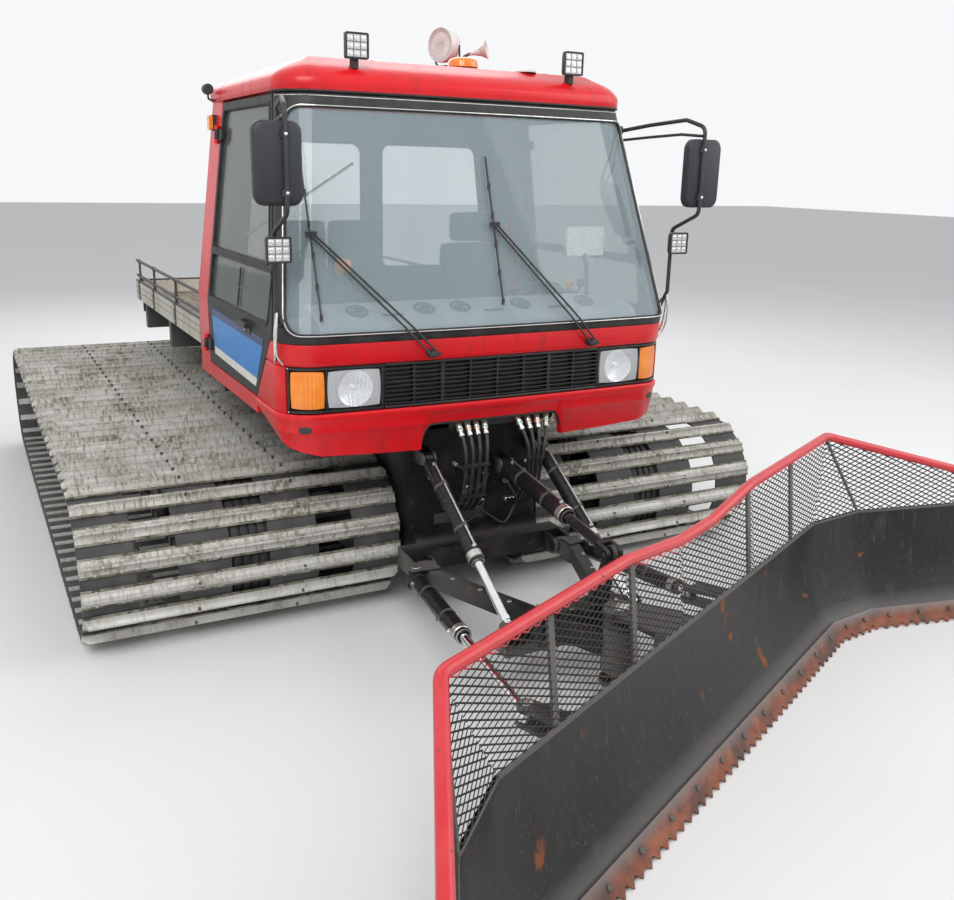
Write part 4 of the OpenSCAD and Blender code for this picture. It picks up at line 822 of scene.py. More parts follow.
# (radius, way out) round a rim, from its cap to the back of its hub
RIM_PROFILE = [(0, 78), (40, 78), (58, 70), (62, 44), (100, 34), (112, 34), (140, 12), (172, 4),
               (190, 18), (198, 60), (204, 112), (226, 120), (230, 128), (222, 136), (196, 124),
               (186, 60), (180, -100), (222, -136), (230, -128), (226, -120), (204, -112), (196, -30),
               (150, -20), (60, -20), (56, -60), (0, -60)]
HULL_SIDE = 398.0
SPROCKET_TEETH = 15
SPROCKET_LOW = 296.0
SPROCKET_TIP = 358.0
# One tooth: (share of the pitch, radius)
TOOTH_STEPS = ((0.0, SPROCKET_LOW), (0.22, SPROCKET_LOW), (0.36, SPROCKET_TIP), (0.64, SPROCKET_TIP),
               (0.78, SPROCKET_LOW))


def sprocket_outline():
    """The toothed outline of a sprocket round the rear axle."""
    out = []
    for k in range(SPROCKET_TEETH):
        for f, r in TOOTH_STEPS:
            a = 2 * math.pi * (k + f) / SPROCKET_TEETH
            out.append((REAR_C.x + r * math.cos(a), REAR_C.y + r * math.sin(a)))
    return out


def bolt_circle(s, centre, out, ring, count, radius, height):
    """Bolts in a circle about an axis across the machine."""
    for k in range(count):
        a = 2 * math.pi * k / count
        s.bolt(centre + Vector((0, ring * math.cos(a), ring * math.sin(a))), out, radius, height, 1)


def build_running_gear():
    """Rims, hubs and axle arms, and the sprocket shafts."""
    s = Shape()
    for side in (-1, 1):
        out = Vector((side, 0, 0))
        for y, z in zip(WHEEL_Y, WHEEL_Z):
            mid = Vector((side * TRACK_MID, y, z))
            s.lathe(RIM_PROFILE, mid, out, 40)
            s.disc((side * HULL_SIDE, y, z), out, 55, TRACK_MID - 460, 28)
            s.disc((side * HULL_SIDE, y, z), out, 92, 34, 28, edge=8)
            s.disc(mid - out * 110, out, 84, 56, 28, edge=10)
            bolt_circle(s, mid + out * 33, out, 88, 8, 11, 14)
        s.disc((side * HULL_SIDE, *REAR_C), out, 75, TRACK_W - 105, 32, edge=8)
        s.disc((side * HULL_SIDE, *REAR_C), out, 190, 60, 40, edge=14)
        for k in range(BELT_COUNT - 1):
            x = side * (TRACK_IN + BELT_W + BELT_GAP / 2 + k * (BELT_W + BELT_GAP))
            s.plate(sprocket_outline(), "yz", x - 14, x + 14)
            s.disc((x - side * 32, *REAR_C), out, 130, 64, 32, edge=8)
            bolt_circle(s, Vector((x + side * 32, *REAR_C)), out, 108, 10, 10, 10)
    s.make("axles_rims_sprockets", "gear steel", "gear_grey", bevel=1.5,
           replaces=["running_gear"])


# Cab skin

def half_w(z):
    """The cab's half width at a height."""
    return CAB_HW if z <= BELT_Z else CAB_HW - (CAB_HW - TOP_HW) * (z - BELT_Z) / (ROOF_Z - BELT_Z)


def front_y(z):
    """The front's y at a height, without its bulge."""
    if z >= BELT_Z:
        return FRONT_Y + SCREEN_LEAN * (z - BELT_Z)
    return lookup(z, [(BAND_Z, -205), (BELT_Z, FRONT_Y)])


# The door's front edge: (height, y)
DOOR_EDGE = [(CAB_LOW, SILL_Y), (1251, SILL_Y), (1632, -36)]


def skin(w, z, d=0.0):
    """A point on the cab's skin, w along it from the middle and d inside it."""
    side = -1 if w < 0 else 1
    v = abs(w)
    flat = half_w(z) - CORNER_R
    if v <= RUN:
        f = v / RUN
        return Vector((side * f * flat, front_y(z) - BULGE * (1 - f * f) + d, z))
    if v <= RUN + ARC:
        a = math.pi / 2 * (1 - (v - RUN) / ARC)
        return Vector((side * (flat + (CORNER_R - d) * math.cos(a)),
                       front_y(z) + CORNER_R - (CORNER_R - d) * math.sin(a), z))
    y = lerp(front_y(z) + CORNER_R, lookup(z, DOOR_EDGE), v - RUN - ARC)
    return Vector((side * (half_w(z) - d), y, z))


EDGE_W = RUN + ARC + 1


def stations(low, high, step=42.0):
    """Places along the skin from low to high, finer round the corners, ending at both."""
    corners = (-EDGE_W, -RUN - ARC, -RUN, RUN, RUN + ARC, EDGE_W)
    marks = sorted({low, high, *(x for x in corners if low < x < high)})
    out = []
    for a, b in zip(marks, marks[1:]):
        fine = step / 2 if abs(a + b) / 2 > RUN else step
        n = max(1, math.ceil((b - a) / fine))
        out += [lerp(a, b, k / n) for k in range(n)]
    return out + [high]


def sweep(shape, places, section):
    """A closed section of (depth, height) carried along the skin; section may depend on the place."""
    rings = []
    for w in places:
        points = section(w) if callable(section) else section
        rings.append([skin(w, z, d) for d, z in points])
    shape.loft(rings)


def lens(shape, w0, w1, z0, z1, front, back, mark=0, ribs=0, crown=6.0, nw=36, nz=14, corner=0.10):
    """A rounded patch of the skin between two depths, with a crowned and perhaps ribbed face."""
    grid = []
    for face in (front, back):
        for j in range(nz + 1):
            for i in range(nw + 1):
                a, b = 2 * i / nw - 1, 2 * j / nz - 1
                u = a * math.sqrt(1 - corner * b * b)
                v = b * math.sqrt(1 - corner * a * a)
                lift = crown * (1 - a ** 4) * (1 - b ** 4) if face == front else 0
                if ribs and face == front:
                    lift += 1.6 * math.cos(ribs * math.pi * a)
                grid.append(skin(lerp(w0, w1, (u + 1) / 2), lerp(z0, z1, (v + 1) / 2), face - lift))
    n, size = nw + 1, (nw + 1) * (nz + 1)
    faces = []
    for j in range(nz):
        for i in range(nw):
            q = (j * n + i, j * n + i + 1, (j + 1) * n + i + 1, (j + 1) * n + i)
            faces.append(q)
            faces.append(tuple(size + k for k in reversed(q)))
    rim = ([i for i in range(nw)] + [j * n + nw for j in range(nz)]
           + [nz * n + i for i in range(nw, 0, -1)] + [j * n for j in range(nz, 0, -1)])
    for a, b in zip(rim, rim[1:] + rim[:1]):
        faces.append((a, size + a, size + b, b))
    shape.add(grid, faces, mark)


def build_front_panel():
    """The red band under the windscreen and the cheeks beside the lamps."""
    s = Shape()
    strip = [(32, 1483), (6, BAND_Z), (0, 1484), (-2, 1500), (-2, 1570), (0, STRIP_Z), (32, STRIP_Z)]
    sweep(s, stations(-EDGE_W, EDGE_W), strip)
    cheek = [(32, 1244), (4, 1244), (0, 1250), (0, 1474), (6, BAND_Z), (32, 1483)]
    lamp_edge = RUN + ARC * 57 / 90
    sweep(s, stations(-EDGE_W, -lamp_edge), cheek)
    sweep(s, stations(lamp_edge, EDGE_W), cheek)
    s.make("cab_front_red", "red", "red_paint", smooth=50, bevel=2.5, replaces=["cab_front_panel"])


BUMPER_LOW = [(0, 1002), (RUN * 0.44, 1002), (RUN * 0.5, 1004), (RUN * 0.75, 1012), (RUN, 1022),
              (RUN + ARC * 0.21, 1036), (RUN + ARC * 0.42, 1050), (RUN + ARC * 0.63, 1062),
              (RUN + ARC * 0.81, 1080), (RUN + ARC, 1095), (EDGE_W, CAB_LOW - 4)]
CUT_OUT = (RUN * 0.37, RUN * 0.45)
CUT_OUT_Z = 1140.0


def bumper_low(w):
    """The bumper's lower edge, with its rounded cut-out for the couplers."""
    v = abs(w)
    if v >= CUT_OUT[1]:
        return lookup(v, BUMPER_LOW)
    if v <= CUT_OUT[0]:
        return CUT_OUT_Z
    t = (v - CUT_OUT[0]) / (CUT_OUT[1] - CUT_OUT[0])
    return lerp(CUT_OUT_Z, lookup(v, BUMPER_LOW), 1 - math.sqrt(max(0.0, 1 - t ** 2.2)))


def bumper_section(w):
    """The bumper's section at a place, as (depth, height)."""
    low = bumper_low(w)
    rim = [(20, low + 20), (24, low + 5), (42, low), (70, low), (60, 1238), (34, 1245), (-2, 1245),
           (-9, 1238), (-10, 1222), (-6, 1213)]
    if low < 1110:
        return rim + [(0, 1200), (4, 1150), (8, 1146)]
    return rim + [(0, 1204), (4, 1200), (6, 1196)]


def build_bumper():
    """The red bumper, the rubber of its cut-out and two small markers."""
    s = Shape()
    places = stations(-EDGE_W, EDGE_W, 40)
    places = sorted({*places, *(side * lerp(*CUT_OUT, k / 12) for k in range(13) for side in (-1, 1))})
    sweep(s, places, bumper_section)
    rim = [skin(w, bumper_low(w) - 3, 34) for w in places if abs(w) < CUT_OUT[1]]
    s.tube(rim, 7, 8, 1)
    for side in (-1, 1):
        spot = RUN + ARC * 0.30
        lens(s, side * (spot - 34), side * (spot + 34), 1150, 1186, 1.0, 6.0, 2, crown=1.0, nw=12, nz=8,
             corner=0.4)
    s.make("bumper_red", "red rubber plastic", "red_paint", smooth=40,
           replaces=["front_bumper"])


def frame_loop(w_half, z0, z1, radius, step=42.0):
    """Places round a rounded opening: (w, z, corner or None, angle in the corner)."""
    inner = []
    arc = [k * math.pi / 16 for k in range(9)]
    centres = [(w_half - radius, z1 - radius, 0), (-w_half + radius, z1 - radius, 1),
               (-w_half + radius, z0 + radius, 2), (w_half - radius, z0 + radius, 3)]
    for (cw, cz, q), (nw, nz, _) in zip(centres, centres[1:] + centres[:1]):
        for a in arc:
            turn = a + q * math.pi / 2
            inner.append((cw + radius * math.cos(turn), cz + radius * math.sin(turn), q, a))
        n = max(2, math.ceil(math.hypot(nw - cw, nz - cz) / step))
        end = (inner[-1][0], inner[-1][1])
        for k in range(1, n):
            inner.append((end[0] + (nw - cw) * k / n, end[1] + (nz - cz) * k / n, None, 0))
    return inner


def outer_of(p, w_half, z0, z1):
    """The point of the sharp outline that faces a point of the rounded one."""
    w, z, q, a = p
    if q is None:
        if abs(z - SCREEN_Z[0]) < 1:
            return w, z0
        if abs(z - SCREEN_Z[1]) < 1:
            return w, z1
        return math.copysign(w_half, w), z
    t = a / (math.pi / 2)
    tall = q in (0, 2)
    first = t < 0.5
    side_on = first if tall else not first
    k = 1 - abs(2 * t - 1)
    edge_z = z1 if q in (0, 1) else z0
    edge_w = math.copysign(w_half, w)
    if side_on:
        return edge_w, lerp(z, edge_z, k)
    return lerp(w, edge_w, k), edge_z


SCREEN_CORNER = 85.0
# The rubber's section: (share of the way from the sharp outline to the opening, depth)
FRAME_CUT = [(0.0, 4.0), (0.25, 0.0), (0.5, 0.0), (0.72, 0.0), (0.86, -5.0), (0.95, -4.0), (1.0, 2.0),
             (1.0, 8.0), (0.78, 9.0), (0.74, 38.0), (0.4, 38.0), (0.0, 38.0)]


def build_windscreen_frame():
    """The windscreen's rubber and its bright trim."""
    s = Shape()
    rings = []
    for p in frame_loop(SCREEN_W, *SCREEN_Z, SCREEN_CORNER):
        ow, oz = outer_of(p, RUN + ARC, STRIP_Z + 0.5, ROOF_Z - 0.5)
        rings.append([skin(lerp(ow, p[0], t), lerp(oz, p[1], t), d) for t, d in FRAME_CUT])
    s.loft(rings, loop=True)
    for side in (-1, 1):
        ends = span_x(side, RUN + ARC, EDGE_W)
        sweep(s, ends, [(38, STRIP_Z + 1), (0, STRIP_Z + 1), (0, SCREEN_Z[0]), (38, SCREEN_Z[0])])
    s.make("windscreen_rubber", "rubber", "rubber_trim", smooth=32, replaces=["windscreen_frame"])
    t = Shape()
    trim = frame_loop(SCREEN_W + 9, SCREEN_Z[0] - 9, SCREEN_Z[1] + 9, SCREEN_CORNER + 9)
    t.tube([skin(p[0], p[1], -5.5) for p in trim], 3.2, 6, loop=True)
    upper = [skin(w, ROOF_Z - 22, -1) for w in stations(-RUN - ARC * 0.9, RUN + ARC * 0.9)]
    t.tube(upper, 3.5, 6)
    t.make("windscreen_trim", "trim", "rubber_trim")


def build_cab_glass():
    """The windscreen and the two rear windows."""
    s = Shape()
    lens(s, -SCREEN_W - 10, SCREEN_W + 10, SCREEN_Z[0] - 10, SCREEN_Z[1] + 10, 10.5, 16.5, crown=0.0,
         nw=80, nz=16, corner=0.012)
    for side in (-1, 1):
        pane = [(side * x, z) for x, z in ((860, 1760), (60, 1760), (60, 2560), (760, 2560))]
        s.plate(rounded(pane, 70), "xz", CAB_REAR - 26, CAB_REAR - 20)
    s.make("cab_windows", "glass", "glass_tint", smooth=40, replaces=["cab_glass"])


# The roof's skin from its edge up: (height over the edge, way in)
ROOF_SKIN = ((0, -8), (6, -12), (44, -14), (62, -8), (82, 10), (100, 30), (121, 66), (138, 110),
             (152, 144), (163, 170), (168, 182), (ROOF_TOP - ROOF_Z, 200))


def roof_ring(z, d):
    """A closed line round the roof at a height, moved in by a distance."""
    rear = CAB_REAR - max(d, -4) * 0.6
    side = [(-(half_w(ROOF_Z) - d), rear, z)]
    arc = []
    for w in stations(-RUN - ARC, RUN + ARC):
        p = skin(w, ROOF_Z, d)
        arc.append((p.x, p.y, z))
    return side + arc + [(half_w(ROOF_Z) - d, rear, z)]


HATCH = ((-300.0, 830.0), (150.0, 1330.0))
HATCH_RIM = 30
HATCH_HINGE_X = (-210, 40)


def subtract(obj, low, high):
    """Cuts a box out of a made object's mesh."""
    cutter = Shape()
    cutter.box(low, high)
    mesh = bpy.data.meshes.new("cutter")
    mesh.from_pydata([to_row(p) for p in cutter.points], [], cutter.faces)
    tool = bpy.data.objects.new("cutter", mesh)
    bpy.context.scene.collection.objects.link(tool)
    cut = obj.modifiers.new("cut", "BOOLEAN")
    cut.operation = "DIFFERENCE"
    cut.object = tool
    bpy.context.view_layer.update()
    done = bpy.data.meshes.new_from_object(obj.evaluated_get(bpy.context.evaluated_depsgraph_get()))
    obj.modifiers.remove(cut)
    obj.data = done
    bpy.data.objects.remove(tool)


def cut_hatch(obj, low, high):
    """Opens a roof piece under the hatch between two heights."""
    (x0, y0), (x1, y1) = HATCH
    subtract(obj, (x0 + HATCH_RIM, y0 + HATCH_RIM, low), (x1 - HATCH_RIM, y1 - HATCH_RIM, high))


def build_roof():
    """The red roof, its ribs and gutter, and the hatch's hinges."""
    s = Shape()
    outer = [roof_ring(ROOF_Z + rise, d) for rise, d in ROOF_SKIN]
    inner = [roof_ring(z, d) for z, d in ((ROOF_TOP - 30, 200), (ROOF_Z + 60, 60), (ROOF_Z, 42))]
    s.loft(outer + inner, caps=False, loop=True)
    n = len(outer[0])
    s.add(outer[-1], [tuple(range(n))])
    s.add(inner[0], [tuple(range(n - 1, -1, -1))])
    s.faces = [f for f in s.faces if not bridges(f, n, len(outer))]
    s.marks = s.marks[:len(s.faces)]
    roof = s.make("roof_red", "red", "red_paint", smooth=40, replaces=["cab_roof"])
    cut_hatch(roof, ROOF_TOP - 80, ROOF_TOP + 20)
    t = Shape()
    for x in (-560, -470, 470, 560):
        line = [(x, 330, ROOF_TOP), (x, 380, ROOF_TOP + 5), (x, 1380, ROOF_TOP + 5), (x, 1440, ROOF_TOP)]
        t.loft([[(px + dx, py, pz + dz) for dx, dz in ((-16, -3), (-10, 3), (10, 3), (16, -3))]
                for px, py, pz in line])
    gutter = [skin(w, ROOF_Z, -9) + Vector((0, 0, -1)) for w in stations(-RUN - ARC, RUN + ARC)]
    t.tube(gutter, 6, 8, 1)
    for x in HATCH_HINGE_X:
        for e in (x - 13, x + 51):
            t.plate(oblong(1334, ROOF_TOP - 1, 1354, ROOF_TOP + 25, 9), "yz", e, e + 12)
        t.disc((x - 13, 1344, 2940), LEFT, 5, 76, 12)
    t.make("roof_ribs_gutter", "red rubber", "red_paint", bevel=1.5)


def bridges(face, n, m):
    """True for a face between the outer skin's top ring and the lining's."""
    rings = {i // n for i in face if i < n * (m + 3)}
    return rings == {m - 1, m}


def build_lamp_units():
    """Headlamps and indicators in their bezels, and the signal lamps."""
    bezel = Shape()
    glow = Shape()
    clear = Shape()
    w0, w1, w2 = 640.0, 934.0, RUN + ARC * 56 / 90
    edge = [(46, LAMP_LOW), (10, LAMP_LOW), (4, 1252), (4, 1262), (16, 1266), (30, 1268), (46, 1268)]
    upper = [(d, LAMP_LOW + LAMP_TOP + 0.7 - z) for d, z in reversed(edge)]
    for side in (-1, 1):
        ends = span_x(side, w0, w2)
        for part in (edge, upper):
            sweep(bezel, stations(*ends), part)
        for a, b in ((w0, w0 + 14), (w1 - 4, w1 + 4), (w2 - 14, w2)):
            pair = span_x(side, a, b)
            sweep(bezel, pair, [(46, 1266), (8, 1266), (8, 1460), (46, 1460)])
        sweep(bezel, stations(*ends), [(46, 1262), (40, 1262), (40, 1462), (46, 1462)])
        lens(glow, side * (w1 + 6), side * (w2 - 16), 1270, 1456, 12, 34, ribs=9, crown=5)
        lens(clear, side * (w0 + 16), side * (w1 - 6), 1270, 1456, 10, 14, crown=7)
        bowl = skin(side * (w0 + w1) / 2, 1363, 38)
        bezel.lathe([(0, 0), (20, -3), (60, -12), (92, -26)], bowl, (0, 1, 0), 32, 1)
        bezel.disc(bowl, AHEAD, 14, 18, 16, 1, 5)
        for z in (1255, 1470):
            way = skin(side * w2, z, 0) - skin(side * w2, z, 30)
            bezel.bolt(skin(side * (w2 - 10), z, 4), way, 4, 2, 1)
    bezel.make("lamp_bezels", "grille reflector", "lamp_housing", bevel=1.0,
               replaces=["headlamps"])
    clear.make("headlamp_lenses", "lens", "lamp_clear", smooth=60)
    add_marker_lamps(glow)
    glow.make("signal_lenses", "orange plastic lamp_red", "lamp_orange", smooth=45,
              replaces=["signal_lamps"])


def add_marker_lamps(s):
    """Side markers high on the cab, the beacon and the tail lamps."""
    for side in (-1, 1):
        x0, x1 = span_x(side, 1053, half_w(2595) + 14)
        s.plate(oblong(1424, 2597, 1476, 2678, 12), "yz", x0, x1)
        x0, x1 = span_x(side, half_w(2595) + 14, half_w(2680) - 2)
        s.plate(oblong(1420, 2593, 1480, 2682, 12), "yz", min(x0, x1), max(x0, x1), 1)
        x0, x1 = span_x(side, 860, 1060)
        s.box((x0, 4100, 1180), (x1, 4136, 1270), 1)
        for k, mark in ((0, 0), (1, 2), (2, 2)):
            a = x0 + 8 + k * 62
            s.plate(oblong(a, 1188, a + 58, 1262, 10), "xz", 4134, 4140, mark)
    c = (126, 490, ROOF_TOP)
    s.lathe([(0, 0), (88, 0), (88, 10), (80, 14), (0, 14)], c, UP, 36, 1)
    dome = [(0, 14), (78, 14), (84, 20), (82, 44), (74, 58), (58, 66), (30, 70), (0, 70)]
    s.lathe(dome, c, UP, 36)


def build_grille():
    """The black grille: frame, nine slats and uprights."""
    s = Shape()
    w = 0.665 * RUN
    places = stations(-w, w)
    sweep(s, places, [(46, LAMP_LOW), (34, LAMP_LOW), (34, LAMP_TOP), (46, LAMP_TOP)])
    for z0, z1 in ((LAMP_LOW, 1262), (1464, LAMP_TOP)):
        sweep(s, places, [(34, z0), (6, z0), (3, z0 + 4), (3, z1 - 4), (6, z1), (34, z1)])
    for k in range(9):
        z = 1266 + k * 22.4
        sweep(s, places, [(32, z + 3), (10, z), (7, z + 2), (7, z + 6), (10, z + 8), (32, z + 10)])
    for k in range(-4, 5):
        x = k * w / 4
        half = 9 if abs(k) == 2 else 4
        ends = (max(-w, x - half), min(w, x + half))
        sweep(s, ends, [(34, 1250), (9, 1250), (9, 1476), (34, 1476)])
    s.make("grille_slats", "grille", "grille_black", bevel=0.8, replaces=["grille"])


# Blade

BLADE_TURN = Matrix.Translation((0, KING_Y, 0)) @ Matrix.Rotation(BLADE_YAW, 4, "Z")


def fwd(a):
    """The way ahead of a stretch of the blade that is swept by an angle."""
    return Vector((-math.sin(a), math.cos(a)))


def plan(f):
    """Plan points (u, f) of the blade's bends and tip, f ahead of the kingpin."""
    bend_1 = Vector((FOLD_U, EDGE_F))
    bend_2 = bend_1 + FOLD_LEN * Vector((math.cos(WING_A / 2), math.sin(WING_A / 2)))
    bend_3 = bend_2 + WING_LEN * Vector((math.cos(WING_A), math.sin(WING_A)))
    off = f - EDGE_F
    first = (fwd(0) + fwd(WING_A / 2)) / (1 + math.cos(WING_A / 2))
    second = (fwd(WING_A / 2) + fwd(WING_A)) / (1 + math.cos(WING_A / 2))
    return [bend_1 + off * first, bend_2 + off * second, bend_3 + off * fwd(WING_A)]


def blade_line(f):
    """Plan points from the right tip to the left tip."""
    p = plan(f)
    return [Vector((-q.x, q.y)) for q in reversed(p)] + p


CHORD = Vector((LIP_F - EDGE_F, LIP_Z))
CHORD_N = Vector((-LIP_Z, LIP_F - EDGE_F)).normalized()


def board_face(t):
    """A point (ahead, height) of the board's hollow face, t from its foot to its lip."""
    return Vector((EDGE_F, 0)) + t * CHORD + SAG * 4 * t * (1 - t) * CHORD_N


# Rings on each of the blade's five stretches
BLADE_RINGS = (8, 5, 22, 5, 8)


def blade_rings(section):
    """Rings of a section of (ahead, height) points along the blade."""
    lines = [blade_line(f) for f, _ in section]
    rings = []
    for j, n in enumerate(BLADE_RINGS):
        for k in range(n + (j == len(BLADE_RINGS) - 1)):
            ring = []
            for line, (_, z) in zip(lines, section):
                q = lerp(line[j], line[j + 1], k / n)
                ring.append((q.x, -q.y, z))
            rings.append(ring)
    return rings


def build_board():
    """The folded board with its lip and four ribs behind."""
    s = Shape()
    s.turn = BLADE_TURN
    n = 20
    front = [board_face(k / n) for k in range(1, n + 1)]
    low = board_face(0) + Vector((-12, 14))
    back = [board_face(k / n) + BOARD_T * CHORD_N for k in range(1, n)] + [Vector((LIP_F - BOARD_T, LIP_Z))]
    section = [low, *front, *reversed(back), low + BOARD_T * CHORD_N]
    s.loft(blade_rings([(p.x, p.y) for p in section]))
    for u in (-700, -250, 250, 700):
        curve = [board_face(t) + BOARD_T * CHORD_N for t in (0.3, 0.45, 0.6, 0.75, 0.86)]
        outline = [(-330, 180)] + [(-p.x, p.y) for p in curve] + [(-330, curve[-1].y)]
        s.plate(outline, "yz", u - 8, u + 8)
    lip = [(LIP_F + 4, LIP_Z - 14), (LIP_F + 7, LIP_Z - 6), (LIP_F + 3, LIP_Z), (LIP_F - BOARD_T, LIP_Z),
           (LIP_F - BOARD_T, LIP_Z - 14)]
    s.loft(blade_rings(lip), 1)
    s.make("blade_skin", "blade steel", "blade_black", "blade", smooth=24, replaces=["blade_board"])


TOOTH = 66.0
TOOTH_DEPTH = 24.0
# One tooth's outline: (share of the pitch, share of the depth)
TOOTH_CUT = ((0.0, 0.0), (0.16, 0.35), (0.34, 0.8), (0.5, 1.0), (0.68, 0.85), (0.86, 0.4))
EDGE_BOLT_STEP = 230


def build_edge():
    """The bolted edge with its worn, saw-like teeth."""
    s = Shape()
    s.turn = BLADE_TURN
    top = board_face(1 / 6)
    out = Vector((top.y, EDGE_F - top.x)).normalized()
    rings = []
    line_low, line_top = blade_line(EDGE_F), blade_line(top.x)
    rng = random.Random(4)
    for j in range(5):
        run = (line_low[j + 1] - line_low[j]).length
        teeth = max(2, round(run / TOOTH))
        for k in range(teeth):
            depth = TOOTH_DEPTH * rng.uniform(0.7, 1.1)
            for f, lift in TOOTH_CUT:
                t = (k + f) / teeth
                low, high = lerp(line_low[j], line_low[j + 1], t), lerp(line_top[j], line_top[j + 1], t)
                rings.append(edge_ring(low, high, top.y, depth * lift, out))
    rings.append(edge_ring(line_low[5], line_top[5], top.y, 0, out))
    s.loft(rings)
    for j in range(5):
        a, b = line_top[j], line_top[j + 1]
        tip = Vector((a.x, -a.y, top.y)), Vector((b.x, -b.y, top.y))
        s.tube([tip[0] + Vector((0, -10, -2)), tip[1] + Vector((0, -10, -2))], 7, 6, 1)
        n = max(2, round((b - a).length / EDGE_BOLT_STEP))
        for k in range(n):
            q = lerp(a, b, (k + 0.5) / n)
            low = lerp(line_low[j], line_low[j + 1], (k + 0.5) / n)
            mid = Vector((lerp(low.x, q.x, 0.62), -lerp(low.y, q.y, 0.62) - 15 * out.x,
                          lerp(0, top.y, 0.62) + 15 * out.y))
            s.bolt(mid, (0, -out.x, out.y), 14, 6, 2)
    s.make("edge_teeth", "rust worn steel", "rusty_steel", "blade", smooth=30,
           replaces=["cutting_edge"])


def edge_ring(low, high, height, lift, out):
    """One slice of the edge: its foot raised by lift between two teeth."""
    k = lift / height
    foot = lerp(Vector((low.x, -low.y, 0)), Vector((high.x, -high.y, height)), k)
    head = Vector((high.x, -high.y, height))
    shift = Vector((0, -16 * out.x, 16 * out.y))
    return [foot, foot + shift * 0.6, foot * 0.86 + (head + shift) * 0.14 + shift * 0.5,
            head + shift, head]


def guard_f_at(z):
    """How far ahead of the kingpin the leaning guard stands at a height."""
    return LIP_F - (LIP_F - GUARD_F) * (z - LIP_Z) / (GUARD_Z - LIP_Z)


def on_mid(u, z):
    """A point of the guard's middle panel."""
    return Vector((u, -guard_f_at(z), z))


def on_wing(t, z):
    """A point of the guard's left wing, t along it from the fold."""
    p = plan(guard_f_at(z))[1]
    return Vector((p.x + t * math.cos(WING_A), -p.y - t * math.sin(WING_A), z))


def corner_at(z):
    """Where the middle panel and the left wing meet at a height."""
    off = guard_f_at(z)
    p = plan(off)[1]
    return on_wing(-(p.y - off) / math.sin(WING_A), z)


def mirrored(p):
    """The same point on the blade's other half."""
    return Vector((-p.x, p.y, p.z))


POST_T = WING_LEN - 30
DIP_IN = 150
DIP_OUT = 600
SHOULDER_Z = GUARD_Z - 5
RAIL_HALF = [corner_at(GUARD_Z), on_mid(DIP_OUT, SHOULDER_Z), on_mid(DIP_IN, DIP_Z)]


def build_guard_rail():
    """The red rail, from the post on one wing over the dip to the other."""
    s = Shape()
    s.turn = BLADE_TURN
    half = [on_wing(POST_T, LIP_Z + 3.4), on_wing(POST_T, GUARD_TIP_Z), *RAIL_HALF]
    line = half + [mirrored(p) for p in reversed(half)]
    s.tube(bent(line, 90, 8), GUARD_R - 1, 16)
    s.make("guard_rail_red", "rail_red", "red_paint", "blade", smooth=50,
           replaces=["blade_guard_rail"])


# A diamond's length and height, and half of a strand's width
MESH_LONG = 60.0
MESH_SHORT = 27.0
STRAND = 3.4


def clip(p, q, outline):
    """The part of a 2-D segment inside a convex outline, or None."""
    lo, hi = 0.0, 1.0
    d = q - p
    for a, b in zip(outline, outline[1:] + outline[:1]):
        n = Vector((-(b - a).y, (b - a).x))
        near, rate = n.dot(p - a), n.dot(d)
        if abs(rate) < 1e-9:
            if near < 0:
                return None
            continue
        t = -near / rate
        if rate > 0:
            lo = max(lo, t)
        else:
            hi = min(hi, t)
    return (p + d * lo, p + d * hi) if hi - lo > 0.05 else None


def expanded_panel(s, corners, red_from=None):
    """Diamond mesh over one flat convex panel; corners start with its low edge, left to right."""
    origin = corners[0]
    right = (corners[1] - origin).normalized()
    normal = right.cross(corners[2] - origin).normalized()
    up = normal.cross(right)
    flat = [Vector(((c - origin).dot(right), (c - origin).dot(up))) for c in corners]
    wide = (min(p.x for p in flat), max(p.x for p in flat))
    tall = (min(p.y for p in flat), max(p.y for p in flat))
    half = Vector((MESH_LONG / 2, MESH_SHORT / 2))
    for j in range(math.floor(tall[0] / half.y) - 1, math.ceil(tall[1] / half.y) + 1):
        for i in range(math.floor(wide[0] / half.x) - 1, math.ceil(wide[1] / half.x) + 1):
            if (i + j) % 2:
                continue
            a = Vector((i * half.x, j * half.y))
            for dy in (-1, 1):
                cut = clip(a, a + Vector((half.x, dy * half.y)), flat)
                if not cut:
                    continue
                p, q = (origin + right * c.x + up * c.y for c in cut)
                mid = (p + q) / 2
                mark = 1 if red_from and red_from(mid) else 0
                across = (q - p).cross(normal).normalized() * STRAND
                deep = normal * 2.2
                s.loft([[c + across - deep * 0.2, c + deep, c - across + deep * 0.2, c - deep]
                        for c in (p, q)], mark, caps=False)


def rail_height(u):
    """Height of the rail's underside over the middle plane at u."""
    table = [(DIP_IN, DIP_Z), (DIP_OUT, SHOULDER_Z), (RAIL_HALF[0].x, GUARD_Z)]
    return lookup(abs(u), table) - GUARD_R


def near_rail(p):
    """True where the red paint of the rail runs over the mesh."""
    return p.z > rail_height(p.x) - 16


